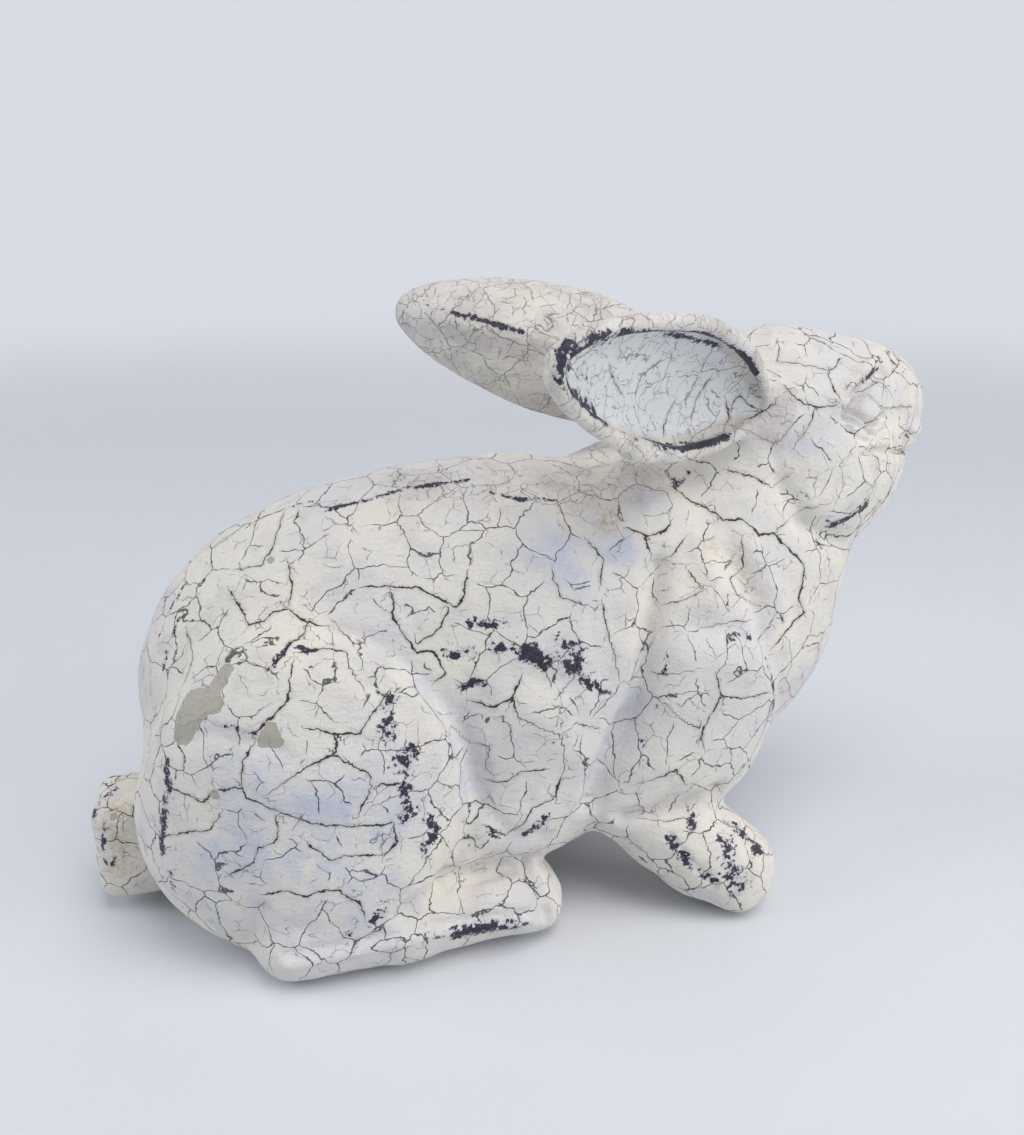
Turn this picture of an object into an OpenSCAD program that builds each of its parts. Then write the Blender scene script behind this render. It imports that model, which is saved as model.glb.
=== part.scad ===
// Crouching rabbit figurine: a hollow casting in two halves, with the head, ears and tail cast apart.
// X runs from the tail to the nose, Y to the rabbit's left, Z up. All lengths are in millimetres.

/* [Trunk] */
// Length from the rump to the front of the chest
trunk_l = 280; // [220:1:340]
// Width across the haunches
trunk_w = 132; // [110:1:160]
// Height of the back above the soles
back_h = 160; // [130:1:190]
// Wall of the two body castings
wall = 6; // [4:0.5:9]

/* [Head] */
// Length from the back of the skull to the nose
head_l = 96; // [80:1:115]
// Width across the cheeks
head_w = 62; // [52:1:75]
// Height from the jaw to the crown
head_h = 66; // [56:1:80]
// Wall of the head casting
head_wall = 6; // [4:0.5:8]
// Turn of the head to the rabbit's left
head_turn = 14; // [0:1:25]
// Lift of the nose
head_lift = 4; // [-5:1:15]
// Sideways tip of the head, which lifts its left side
head_cant = 1; // [0:1:12]

/* [Ears] */
// Length of an ear from its seat to the tip
ear_l = 130; // [90:1:145]
// Width of an ear at its middle
ear_w = 46; // [34:1:54]
// Depth of an ear from the rim to the back
ear_d = 17; // [12:1:24]
// Wall of an ear behind the hollow
ear_wall = 4; // [3:0.5:6]
// Width of the rolled rim
ear_rim = 3; // [2:0.5:5]
// Angle between an ear and the middle of the head
ear_splay = 21; // [10:1:30]
// Rise of an ear towards its tip
ear_rise = 19; // [5:1:30]
// Turn of an ear about its length, which tips the hollow up
ear_roll = -14; // [-25:1:20]
// Diameter of the round root that seats in the head
ear_root_d = 17; // [12:0.5:20]
// Depth of the root in its socket
ear_root_l = 12; // [8:1:18]

/* [Legs] */
// Length of a hind foot
foot_l = 108; // [95:1:130]
// Turn of the hind toes towards the middle
foot_turn = 5; // [0:1:10]
// Width of a hind foot
foot_w = 34; // [26:1:40]
// Height of a hind foot over the instep
foot_h = 27; // [20:1:34]
// Thickness of a foreleg above the paw
foreleg_w = 31; // [24:1:38]
// Diameter of a toe
toe_d = 13; // [11:0.5:18]
// Length of a toe
toe_l = 18; // [12:1:26]

/* [Tail] */
// Height of the tail
tail_h = 39; // [30:1:54]
// Width of the tail
tail_w = 30; // [22:1:40]
// Thickness of the tail from the rump to its back
tail_t = 26; // [20:1:34]
// Rounding of the tail's edges
tail_r = 7; // [4:0.5:9]
// Diameter of the tail's spigot
tail_spigot_d = 10; // [6:0.5:14]
// Length of the tail's spigot
tail_spigot_l = 12; // [8:1:18]

/* [Joints] */
// Diameter of the dowels that line up the body halves
dowel_d = 6; // [4:0.5:8]
// Length of a dowel
dowel_l = 18; // [12:1:26]
// Diameter of the neck spigot
neck_spigot_d = 34; // [24:1:40]
// Length of the neck spigot
neck_spigot_l = 16; // [12:1:22]
// Thickness of the web that closes the neck of the body
neck_web = 8; // [6:0.5:11]
// Bore through the neck that drains the head
neck_bore_d = 14; // [8:1:18]
// Clearance round every root, spigot and dowel
fit_gap = 0.15; // [0.05:0.05:0.3]
// Diameter of the vent hole under the belly
vent_d = 16; // [10:1:22]
// Flange of the vent plug
vent_flange = 2.5; // [1.5:0.5:4]

/* [Hidden] */

trace_steps = 14;
paint = "ivory";
wood = "burlywood";
rubber = "dimgray";

// Numbers of rings and spokes in the skins
cap_rings = 8;
trunk_rings = 26;
trunk_spokes = 20;
cavity_rings = 14;
cavity_spokes = 10;
head_rings = 20;
head_spokes = 16;
head_cavity_rings = 12;
head_cavity_spokes = 10;
ear_rings = 22;
ear_spokes = 10;
stub_rings = 4;
leg_spokes = 16;
toe_facets = 10;
lid_facets = 8;
round_facets = 32;

trunk_size = [trunk_l, trunk_w, back_h];
head_size = [head_l, head_w, head_h];

// Masses of the trunk, as shares of its length, width and height: centre, radii, pitch in degrees, then the
// blend with what is already there as a share of the height. A centre off the middle stands for a pair.
trunk_shares = [
    [[-0.216, 0, 0.517], [0.264, 0.36, 0.42], 15, 0.02],
    [[-0.05, 0, 0.68], [0.26, 0.33, 0.315], 5, 0.12],
    [[0.035, 0, 0.55], [0.22, 0.37, 0.37], 0, 0.12],
    [[0.235, 0, 0.60], [0.21, 0.33, 0.365], 0, 0.12],
    [[0.34, 0, 0.84], [0.19, 0.23, 0.21], 52, 0.14],
    [[-0.38, 0.17, 0.27], [0.11, 0.23, 0.24], 0, 0.08],
    [[-0.26, 0.27, 0.38], [0.20, 0.24, 0.37], 12, 0.05],
    [[-0.255, 0.29, 0.17], [0.15, 0.195, 0.19], 0, 0.14],
    [[-0.014, 0.20, 0.45], [0.13, 0.22, 0.34], 0, 0.05],
    [[-0.05, 0.25, 0.27], [0.13, 0.17, 0.13], 0, 0.08],
    [[0.207, 0.20, 0.52], [0.135, 0.22, 0.29], -12, 0.035],
    [[0.165, 0.24, 0.33], [0.11, 0.17, 0.13], 0, 0.12],
    [[0.145, 0.12, 0.84], [0.085, 0.15, 0.14], 0, 0.06],
    [[0.30, 0.17, 0.75], [0.07, 0.11, 0.14], 0, 0.04]
];

// The line that the trunk's rings stand on, as shares of length and height, with the pitch of each ring
spine_x_shares = [[0, -0.29], [0.25, -0.11], [0.5, 0.07], [0.7, 0.21], [0.85, 0.30], [1, 0.365]];
spine_z_shares = [[0, 0.50], [0.25, 0.55], [0.5, 0.575], [0.7, 0.61], [0.85, 0.73], [1, 0.86]];
spine_pitch = [[0, 20], [0.25, 5], [0.5, 0], [0.7, 12], [0.85, 34], [1, 54]];
neck_reach_share = 0.09;

// Masses of the head, as shares of its length, width and height, about its middle
head_shares = [
    [[-0.14, 0, 0.05], [0.37, 0.44, 0.48], 0, 0.02],
    [[0.30, 0, -0.04], [0.27, 0.31, 0.35], 0, 0.25],
    [[0.02, 0.26, -0.20], [0.27, 0.24, 0.30], 0, 0.12],
    [[0.16, 0, -0.42], [0.33, 0.37, 0.36], 15, 0.16],
    [[0.13, 0.25, 0.13], [0.18, 0.14, 0.13], 0, 0.10],
    [[0.20, 0, 0.14], [0.28, 0.22, 0.24], -18, 0.15],
    [[0.50, 0, -0.03], [0.07, 0.13, 0.15], 0, 0.10],
    [[0.41, 0.10, -0.17], [0.12, 0.14, 0.14], 0, 0.05],
    [[0.095, 0.36, 0.025], [0.075, 0.07, 0.09], 0, 0.02]
];

// Places, as shares of the trunk's or the head's size
middle_shares = [0.0208, -0.0518, 0];
head_place_shares = [0.398, 0.055, 1.05];
ear_seat_shares = [-0.20, 0.22, 0.10];
eye_shares = [0.095, 0.37, 0.025];
eye_reach_shares = [0.085, 0, 0.085];
tail_place_shares = [-0.505, 0, 0.155];
heel_shares = [-0.365, 0.41, 0];
elbow_shares = [0.12, 0.30, 0.28];
paw_shares = [0.315, 0.385, 0];

// Places along the spine line, with the side of the joint face: under the body or along the back
vent_at = 0.36;
dowel_places = [[0.10, 180], [0.62, 180], [0.02, 0], [0.66, 0]];

// Shares that shape the hind foot, the foreleg and the paw, from heel or elbow to tip
foot_x_shares = [0, 0.02, 0.06, 0.14, 0.26, 0.4, 0.55, 0.7, 0.82, 0.9, 0.955, 0.985, 1];
foot_w_shares = [0.3, 0.55, 0.72, 0.86, 0.95, 1, 1, 1, 0.99, 0.95, 0.84, 0.66, 0.4];
foot_h_shares = [0.25, 0.5, 0.72, 0.9, 0.98, 1, 1, 1, 1, 0.97, 0.88, 0.72, 0.45];
foot_mid_share = 0.42;
leg_x_shares = [0, 0.15, 0.3, 0.45, 0.6, 0.72, 0.82, 0.9, 0.96, 1];
leg_w_shares = [0.9, 0.95, 0.98, 0.98, 0.96, 0.98, 1, 0.93, 0.76, 0.45];
leg_z_shares = [1, 0.86, 0.72, 0.58, 0.45, 0.36, 0.31, 0.29, 0.28, 0.27];
leg_pitch = [-30, -32, -34, -34, -32, -26, -18, -10, -5, 0];

toe_count = 4;
toe_spread_share = 0.8;
toe_step_share = 0.12;
toe_rise_share = 0.45;

// Shape of an ear: powers of its outline, and the shares of its length where the hollow opens and closes
ear_lean_power = 0.8;
ear_round_power = 0.5;
ear_depth_power = 1.2;
ear_tip_share = 0.999;
open_from_share = 0.03;
open_over_share = 0.15;
close_over_share = 0.06;

// Shares of a wall: round a hole, and the depth of the vent's hole. Of a boss: its depth under the skin.
hole_wall_share = 0.7;
vent_hole_share = 4;
boss_depth_share = 1.3;
lid_share = 0.03;
neck_from = 0.85;

// Sizes that follow from others
tiny = wall / 1000;
overrun = wall / 6;
trunk_lift = wall / 3;
lid_r = lid_share * head_h;
lid_steps = 6;
boss_r = dowel_d / 2 + hole_wall_share * wall;
boss_l = dowel_l / 2 + wall / 2;
boss_depth = boss_depth_share * boss_r;
ear_boss_r = ear_root_d / 2 + hole_wall_share * head_wall;
vent_r = vent_d / 2 + vent_flange;

head_place = share_of(head_place_shares, trunk_size);
heel = share_of(heel_shares, trunk_size);
elbow = share_of(elbow_shares, trunk_size);
paw = share_of(paw_shares, trunk_size);
tail_place = share_of(tail_place_shares, trunk_size);
middle = share_of(middle_shares, trunk_size);
trunk_masses = masses(trunk_shares, trunk_size);
head_masses = masses(head_shares, head_size);
neck_joint = spine_at(1);
neck_pitch = lookup(1, spine_pitch);
web_share = (1 - neck_from) * neck_web / norm(spine_at(1) - spine_at(neck_from));
belly = skin_point(vent_at, 0, 0);

function share_of(s, size) = [for (i = [0:2]) s[i] * size[i]];

// Fields: the distance from a point to a surface, negative inside

function blended(a, b, k) = let(h = max(k - abs(a - b), 0) / k) min(a, b) - h * h * k / 4;

function pitched(p, a) = [p.x * cos(a) + p.z * sin(a), p.y, p.z * cos(a) - p.x * sin(a)];

function ellipsoid_at(p, r) =
    let(q = [p.x / r.x, p.y / r.y, p.z / r.z], g = [q.x / r.x, q.y / r.y, q.z / r.z], k = norm(q))
    k * (k - 1) / norm(g);

// Masses in real sizes, from a table of shares
function masses(shares, size) = [
    for (m = shares) [share_of(m[0], size), share_of(m[1], size), m[2], m[3] * size.z]
];

function field_at(p, list, i = 0, f = undef) =
    i == len(list) ? f :
    let(m = list[i], d = ellipsoid_at(pitched(p - m[0], m[2]), m[1]))
    field_at(p, list, i + 1, i == 0 ? d : blended(f, d, m[3]));

// Distance from an origin to the skin along a direction, for the surface that lies depth inside it.
// The ground cuts the masses off flat.
function trace(from, along, list, depth, ground, s = tiny, i = 0) =
    i == trace_steps ? s :
    let(p = from + s * along, f = max(field_at([p.x, abs(p.y), p.z], list), ground - p.z) + depth)
    trace(from, along, list, depth, ground, s - f, i + 1);

// Direction of a spoke on a ring of this pitch: turn runs from the underside to the top, and lean tips it
// forward
function spoke(pitch, turn, lean) = [
    sin(lean) * cos(pitch) + cos(lean) * cos(turn) * sin(pitch),
    -cos(lean) * sin(turn),
    sin(lean) * sin(pitch) - cos(lean) * cos(turn) * cos(pitch)
];

function spine_at(u) = [lookup(u, spine_x_shares) * trunk_l, 0, lookup(u, spine_z_shares) * back_h];

// A point on the middle line of the trunk, depth under its skin
function skin_point(u, turn, depth) =
    let(d = spoke(lookup(u, spine_pitch), turn, 0))
    spine_at(u) + trace(spine_at(u), d, trunk_masses, depth, trunk_lift) * d;

// Rings of the trunk: origin, pitch and lean, from the rump to the neck
function trunk_stations(caps, rings, last = 1) = concat(
    [for (i = [0:caps - 1]) [spine_at(0), spine_pitch[0][1], -90 + 90 * i / caps]],
    [for (i = [0:rings]) let(u = last * i / rings) [spine_at(u), lookup(u, spine_pitch), 0]]
);

// Half a skin, from the underside round the right to the top
function half_skin(stations, spokes, list, depth, ground) = [
    for (s = stations) [
        for (j = [0:spokes])
            let(d = spoke(s[1], 180 * j / spokes, s[2]))
            s[0] + trace(s[0], d, list, depth, ground) * d
    ]
];

// Both sides of a skin as closed rings
function whole_rings(half) = let(n = len(half[0]) - 1) [
    for (ring = half) concat(ring, [for (j = [n - 1:-1:1]) [ring[j].x, -ring[j].y, ring[j].z]])
];

function flat_list(lists) = [for (l = lists) each l];

// A closed solid from rings of equal count, with flat ends
module loft(rings) {
    n = len(rings[0]);
    last = len(rings) - 1;
    sides = [
        for (i = [0:last - 1], j = [0:n - 1])
            let(a = i * n + j, b = i * n + (j + 1) % n)
            each [[a, b, a + n], [b, b + n, a + n]]
    ];
    ends = [[for (j = [n - 1:-1:0]) j], [for (j = [0:n - 1]) last * n + j]];
    polyhedron(points = flat_list(rings), faces = concat(sides, ends), convexity = 6);
}

// A closed solid from rings whose first, or first and last, shrinks to a pole
module capped_skin(rings, both_poles = false) {
    n = len(rings[0]);
    last = len(rings) - 1;
    inner = [for (i = [1:both_poles ? last - 1 : last]) each rings[i]];
    count = len(inner) / n;
    tail_pole = len(inner);
    nose_pole = tail_pole + 1;
    points = concat(inner, [rings[0][0]], both_poles ? [rings[last][0]] : []);
    sides = [
        for (i = [0:count - 2], j = [0:n - 1])
            let(a = i * n + j, b = i * n + (j + 1) % n)
            each [[a, b, a + n], [b, b + n, a + n]]
    ];
    back = [for (j = [0:n - 1]) [tail_pole, (j + 1) % n, j]];
    top = (count - 1) * n;
    front = both_poles
        ? [for (j = [0:n - 1]) [top + j, top + (j + 1) % n, nose_pole]]
        : [[for (j = [0:n - 1]) top + j]];
    polyhedron(points = points, faces = concat(sides, back, front), convexity = 8);
}

// The right half of the trunk as far as the neck joint, closed on the middle plane
module half_trunk() {
    stations = trunk_stations(cap_rings, trunk_rings);
    capped_skin(half_skin(stations, trunk_spokes, trunk_masses, 0, trunk_lift));
}

// The hollow of the body, which stops short of the neck joint by the neck's web
module body_cavity() {
    stations = trunk_stations(cap_rings, cavity_rings, 1 - web_share);
    capped_skin(whole_rings(half_skin(stations, cavity_spokes, trunk_masses, wall, trunk_lift)));
}

// A leg's ring: centre, half width, half height and pitch, kept above the soles
function leg_ring(c, hw, hh, pitch) = [
    for (j = [0:leg_spokes - 1])
        let(
            a = 360 * j / leg_spokes,
            up = -hh * cos(a),
            p = c + [-up * sin(pitch), -hw * sin(a), up * cos(pitch)]
        )
        [p.x, p.y, max(p.z, 0)]
];

module hind_foot() {
    translate([heel.x, -heel.y, 0])
        rotate([0, 0, foot_turn]) {
            loft([
                for (i = [0:len(foot_x_shares) - 1])
                    leg_ring(
                        [foot_x_shares[i] * foot_l, 0, foot_h * foot_mid_share],
                        foot_w_shares[i] * foot_w / 2, foot_h_shares[i] * foot_h * (1 - foot_mid_share), 0)
            ]);
            toes([foot_l, 0, 0], foot_w);
        }
}

module foreleg() {
    loft([
        for (i = [0:len(leg_x_shares) - 1])
            let(t = leg_x_shares[i], r = leg_w_shares[i] * foreleg_w / 2)
            let(x = elbow.x + t * (paw.x - elbow.x), y = elbow.y + t * (paw.y - elbow.y))
            leg_ring([x, -y, leg_z_shares[i] * elbow.z], r, r, leg_pitch[i])
    ]);
}

// Toes side by side behind a tip, each a capsule that dips forward
module toes(tip, span) {
    for (k = [0:toe_count - 1]) {
        y = tip.y + span * toe_spread_share * ((k + 0.5) / toe_count - 0.5);
        x = tip.x - abs(k - (toe_count - 1) / 2) * toe_step_share * span - toe_d / 2;
        hull() {
            translate([x, y, toe_d / 2])
                sphere(d = toe_d, $fn = toe_facets);
            translate([x - toe_l, y, toe_d * (1 / 2 + toe_rise_share)])
                sphere(d = toe_d, $fn = toe_facets);
        }
    }
}

// The round spigot under the head, which reaches up into the neck by the web's thickness
module neck_spigot(gap) {
    translate(neck_joint)
        rotate([0, 90 - neck_pitch, 0])
            translate([0, 0, -neck_spigot_l - gap])
                cylinder(d = neck_spigot_d + 2 * gap, h = neck_spigot_l + neck_web + gap, $fn = round_facets);
}

// Pins across the middle plane: the dowels, their holes or the bosses round them
module pins(r, half_l, facets) {
    for (place = dowel_places)
        translate(skin_point(place[0], place[1], boss_depth))
            rotate([90, 0, 0])
                cylinder(r = r, h = 2 * half_l, center = true, $fn = facets);
}

// A stepped round along Z at the vent, from its foot to the top of its flange and the end of its stem
module vent_step(foot, gap, stem) {
    top = belly.z + vent_flange - foot;
    translate([belly.x, 0, foot]) {
        cylinder(r = vent_r + gap, h = top + gap + fit_gap, $fn = round_facets);
        cylinder(r = vent_d / 2 + gap, h = top + stem, $fn = round_facets);
    }
}

// The room inside the body, less the bosses and pads that its pieces need
module body_room() {
    difference() {
        body_cavity();
        pins(boss_r, boss_l, leg_spokes);
        tail_block(wall);
        translate([belly.x, 0, 0])
            cylinder(r = vent_r + wall / 2, h = belly.z + vent_flange + wall, $fn = round_facets);
    }
}

module body_half() {
    difference() {
        union() {
            half_trunk();
            hind_foot();
            foreleg();
            toes([paw.x, -paw.y, 0], foreleg_w);
        }
        body_room();
        pins(dowel_d / 2 + fit_gap, dowel_l / 2 + fit_gap, round_facets);
        neck_spigot(fit_gap);
        tail_block(fit_gap);
        tail_spigot(fit_gap);
        vent_step(0, fit_gap, vent_hole_share * wall);
    }
}

// The head in its own frame: X towards the nose, about the middle of the head
module head_skin(depth, rings, spokes) {
    stations = [for (i = [0:rings]) [[0, 0, 0], 0, -90 + 180 * i / rings]];
    capped_skin(whole_rings(half_skin(stations, spokes, head_masses, depth, -head_h)), true);
}

module in_head() {
    translate(head_place)
        rotate([head_cant, -head_lift, head_turn])
            children();
}

// The part of the neck above the joint, which is cast with the head. It starts just under the joint.
module neck_stub() {
    along = [cos(neck_pitch), 0, sin(neck_pitch)];
    reach = neck_reach_share * trunk_l;
    stations = [
        for (i = [0:stub_rings])
            [neck_joint + (i / stub_rings * (reach + overrun) - overrun) * along, neck_pitch, 0]
    ];
    loft(whole_rings(half_skin(stations, trunk_spokes, trunk_masses, 0, trunk_lift)));
}

// Everything behind the joint plane of the neck
module behind_joint() {
    translate(neck_joint)
        rotate([0, 90 - neck_pitch, 0])
            translate([-back_h, -trunk_w, -back_h])
                cube([2 * back_h, 2 * trunk_w, back_h]);
}

// A point on the head's skin that is seen past a place beside its middle
function head_point(place) =
    let(d = place / norm(place))
    d * trace([0, 0, 0], d, head_masses, lid_r / 2, -head_h);

// The rim of lids round an eye on the right
module eyelids() {
    eye = share_of(eye_shares, head_size);
    reach = share_of(eye_reach_shares, [head_l, 0, head_h]);
    rim = [
        for (i = [0:lid_steps])
            let(a = 360 * i / lid_steps)
            head_point([eye.x + reach.x * cos(a), -eye.y, eye.z + reach.z * sin(a)])
    ];
    for (i = [0:lid_steps - 1])
        hull() {
            translate(rim[i]) sphere(r = lid_r, $fn = lid_facets);
            translate(rim[i + 1]) sphere(r = lid_r, $fn = lid_facets);
        }
}

// A head detail on both sides
module both_sides() {
    children();
    mirror([0, 1, 0]) children();
}

// The room inside the head, less the bosses round the ears' roots
module head_room() {
    difference() {
        head_skin(head_wall, head_cavity_rings, head_cavity_spokes);
        both_sides()
            at_ear()
                rotate([0, 90, 0])
                    translate([0, 0, -head_wall / 2])
                        cylinder(r = ear_boss_r, h = head_l, $fn = leg_spokes);
    }
}

module neck_bore() {
    bore_l = neck_spigot_l + norm(head_place - neck_joint);
    translate(neck_joint)
        rotate([0, 90 - neck_pitch, 0])
            translate([0, 0, -neck_spigot_l - overrun])
                cylinder(d = neck_bore_d, h = bore_l, $fn = leg_spokes);
}

module head() {
    difference() {
        union() {
            difference() {
                union() {
                    in_head() {
                        head_skin(0, head_rings, head_spokes);
                        both_sides() eyelids();
                    }
                    neck_stub();
                }
                behind_joint();
            }
            neck_spigot(0);
        }
        in_head() {
            head_room();
            both_sides() at_ear() ear(fit_gap, true);
        }
        neck_bore();
    }
}

// An ear's section: the back from rim to rim, then the hollow from rim to rim
function ear_section(x, w, d, hollow, rim) = concat(
    [for (j = [0:ear_spokes]) let(a = -90 + 180 * j / ear_spokes) [x, -d * cos(a), w * sin(a)]],
    [
        for (j = [0:ear_spokes])
            let(a = 90 - 180 * (j + 0.5) / (ear_spokes + 1))
            [x, -hollow * cos(a) + rim / 2, (w - rim) * sin(a)]
    ]
);

// An ear in its own frame: X towards the tip, Y out of the hollow, Z across its width.
// As a cutter for its seat it is fuller by the gap, and its hollow is filled.
module ear(gap, as_cutter) {
    root = ear_root_d / 2;
    start = ear_root_l / ear_l;
    loft([
        for (i = [0:ear_rings])
            let(
                t = (1 - cos(180 * i / ear_rings)) / 2,
                u = min(max((t - start) / (1 - start), 0), ear_tip_share),
                leaf = pow(sin(180 * pow(u, ear_lean_power)), ear_round_power),
                w = max(root * (1 - u), ear_w / 2 * leaf),
                d = max(root * (1 - u), ear_d * pow(leaf, ear_depth_power)),
                opened = min(max((u - open_from_share) / open_over_share, 0), 1),
                opening = opened * min((1 - u) / close_over_share, 1),
                hollow = (1 - opening) * -root * (1 - u) + opening * max(d - ear_wall, 0),
                rim = min(ear_rim, w / 2) * opening
            )
            ear_section(
                t * ear_l - (i == 0 ? gap : 0), w + gap, d + gap,
                as_cutter ? min(hollow, 0) - gap : hollow, rim)
    ]);
}

module at_ear() {
    seat = share_of(ear_seat_shares, head_size);
    translate([seat.x, -seat.y, seat.z])
        rotate([0, 0, 180 + ear_splay])
            rotate([ear_roll, -ear_rise, 0])
                children();
}

module tail_block(gap) {
    hull()
        for (x = [-1, 1], y = [-1, 1], z = [-1, 1])
            translate(tail_place + [x * (tail_t / 2 - tail_r), y * (tail_w / 2 - tail_r), 0])
                translate([0, 0, z * (tail_h / 2 - tail_r)])
                    sphere(r = tail_r + gap, $fn = toe_facets);
}

module tail_spigot(gap) {
    translate(tail_place)
        rotate([0, 90, 0])
            cylinder(d = tail_spigot_d + 2 * gap, h = tail_t / 2 + tail_spigot_l + gap, $fn = round_facets);
}

module body_right() {
    color(paint) body_half();
}

module body_left() {
    color(paint) mirror([0, 1, 0]) body_half();
}

module ear_right() {
    color(paint) in_head() at_ear() ear(0, false);
}

module ear_left() {
    color(paint) in_head() mirror([0, 1, 0]) at_ear() ear(0, false);
}

module tail() {
    color(paint) {
        tail_block(0);
        tail_spigot(0);
    }
}

module body_dowels() {
    color(wood) pins(dowel_d / 2, dowel_l / 2, round_facets);
}

module vent_plug() {
    color(rubber) vent_step(belly.z + fit_gap, 0, wall);
}

translate(-middle) {
    body_right();
    body_left();
    color(paint) head();
    ear_right();
    ear_left();
    tail();
    body_dowels();
    vent_plug();
}
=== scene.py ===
"""Crouching rabbit figurine in crackled white paint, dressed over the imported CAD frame."""

import math

import bmesh
import bpy
import numpy as np
from mathutils import Matrix, Vector
from mathutils.bvhtree import BVHTree


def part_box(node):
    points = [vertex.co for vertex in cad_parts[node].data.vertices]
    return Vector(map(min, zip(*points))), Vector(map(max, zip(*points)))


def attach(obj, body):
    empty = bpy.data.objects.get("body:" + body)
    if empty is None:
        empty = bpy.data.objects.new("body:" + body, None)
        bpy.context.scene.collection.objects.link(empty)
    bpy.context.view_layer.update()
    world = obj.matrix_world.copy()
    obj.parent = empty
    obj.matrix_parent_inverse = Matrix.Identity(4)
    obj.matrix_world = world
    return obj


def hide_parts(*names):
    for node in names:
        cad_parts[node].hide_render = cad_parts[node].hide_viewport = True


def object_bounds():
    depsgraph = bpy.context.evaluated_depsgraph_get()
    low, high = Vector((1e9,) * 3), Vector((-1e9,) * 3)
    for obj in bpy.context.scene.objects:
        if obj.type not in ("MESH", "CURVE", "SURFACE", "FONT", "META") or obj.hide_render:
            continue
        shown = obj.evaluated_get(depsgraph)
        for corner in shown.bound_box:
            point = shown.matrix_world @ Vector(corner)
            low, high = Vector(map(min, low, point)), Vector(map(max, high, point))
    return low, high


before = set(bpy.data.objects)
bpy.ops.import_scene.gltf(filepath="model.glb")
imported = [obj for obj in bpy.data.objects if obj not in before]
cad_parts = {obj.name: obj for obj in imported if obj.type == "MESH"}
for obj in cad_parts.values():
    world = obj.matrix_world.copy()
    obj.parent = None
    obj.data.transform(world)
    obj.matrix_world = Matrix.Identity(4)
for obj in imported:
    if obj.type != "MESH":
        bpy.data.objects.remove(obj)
cad_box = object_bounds()

MM = 0.001

# The photo's frame and the camera that was fitted to it
IMAGE_W = 1024
IMAGE_H = 1135
FOCAL_PX = 1098
CAM_AZIMUTH = -12
CAM_ELEVATION = 20
CAM_DISTANCE = 0.400
CAM_TARGET = np.array([-0.0058, 0.0068, 0.118])


def camera_frame():
    """Place, right, up and forward of the camera."""
    a = math.radians(CAM_AZIMUTH)
    e = math.radians(CAM_ELEVATION)
    forward = np.array([-math.sin(a) * math.cos(e), math.cos(a) * math.cos(e), -math.sin(e)])
    right = np.cross(forward, [0, 0, 1])
    right /= np.linalg.norm(right)
    return CAM_TARGET - CAM_DISTANCE * forward, right, np.cross(right, forward), forward


def pixel_rays(pixels):
    """Directions from the camera through pixels of the photo's frame."""
    place, right, up, forward = camera_frame()
    px = np.array(pixels, float)
    d = (px[:, :1] - IMAGE_W / 2) * right + (IMAGE_H / 2 - px[:, 1:2]) * up + FOCAL_PX * forward
    return d / np.linalg.norm(d, axis=1)[:, None]


# The sculpture's sizes and masses, in millimetres, repeated from the part's source
TRUNK_SIZE = np.array([280.0, 132.0, 160.0])
HEAD_SIZE = np.array([96.0, 62.0, 66.0])
MIDDLE = np.array([0.0208, -0.0518, 0]) * TRUNK_SIZE
HEAD_PLACE = np.array([0.398, 0.055, 1.05]) * TRUNK_SIZE
HEAD_TURN = 14
HEAD_LIFT = 4
HEAD_CANT = 1
GROUND = 2.0

# How far the forms flow into each other, in mm
LIMB_BLEND = 4.0
TOE_BLEND = 5.0
FORELEG_BLEND = 5.0
FOOT_BLEND = 4.0
TAIL_BLEND = 1.5
EAR_BLEND = 5.0
NECK_BLEND = 12.0

# Centre, radii, pitch and blend of each mass, as shares of the trunk or the head
TRUNK_SHARES = [
    ((-0.216, 0, 0.517), (0.264, 0.36, 0.42), 15, 0.02),
    ((-0.05, 0, 0.68), (0.26, 0.33, 0.315), 5, 0.12),
    ((0.035, 0, 0.55), (0.22, 0.37, 0.37), 0, 0.12),
    ((0.235, 0, 0.60), (0.21, 0.33, 0.365), 0, 0.12),
    ((0.34, 0, 0.84), (0.19, 0.23, 0.21), 52, 0.14),
    ((-0.38, 0.17, 0.27), (0.11, 0.23, 0.24), 0, 0.08),
    ((-0.26, 0.27, 0.38), (0.20, 0.24, 0.37), 12, 0.05),
    ((-0.255, 0.29, 0.17), (0.15, 0.195, 0.19), 0, 0.14),
    ((-0.014, 0.20, 0.45), (0.13, 0.22, 0.34), 0, 0.05),
    ((-0.05, 0.25, 0.27), (0.13, 0.17, 0.13), 0, 0.08),
    ((0.207, 0.20, 0.52), (0.135, 0.22, 0.29), -12, 0.035),
    ((0.165, 0.24, 0.33), (0.11, 0.17, 0.13), 0, 0.12),
    ((0.145, 0.12, 0.84), (0.085, 0.15, 0.14), 0, 0.06),
    ((0.30, 0.17, 0.75), (0.07, 0.11, 0.14), 0, 0.04),
]
HEAD_SHARES = [
    ((-0.14, 0, 0.05), (0.37, 0.44, 0.48), 0, 0.02),
    ((0.30, 0, -0.04), (0.27, 0.31, 0.35), 0, 0.25),
    ((0.02, 0.26, -0.20), (0.27, 0.24, 0.30), 0, 0.12),
    ((0.16, 0, -0.42), (0.33, 0.37, 0.36), 15, 0.16),
    ((0.13, 0.25, 0.13), (0.18, 0.14, 0.13), 0, 0.10),
    ((0.20, 0, 0.14), (0.28, 0.22, 0.24), -18, 0.15),
    ((0.50, 0, -0.03), (0.07, 0.13, 0.15), 0, 0.10),
    ((0.41, 0.10, -0.17), (0.12, 0.14, 0.14), 0, 0.05),
    ((0.095, 0.36, 0.025), (0.075, 0.07, 0.09), 0, 0.02),
]


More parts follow.
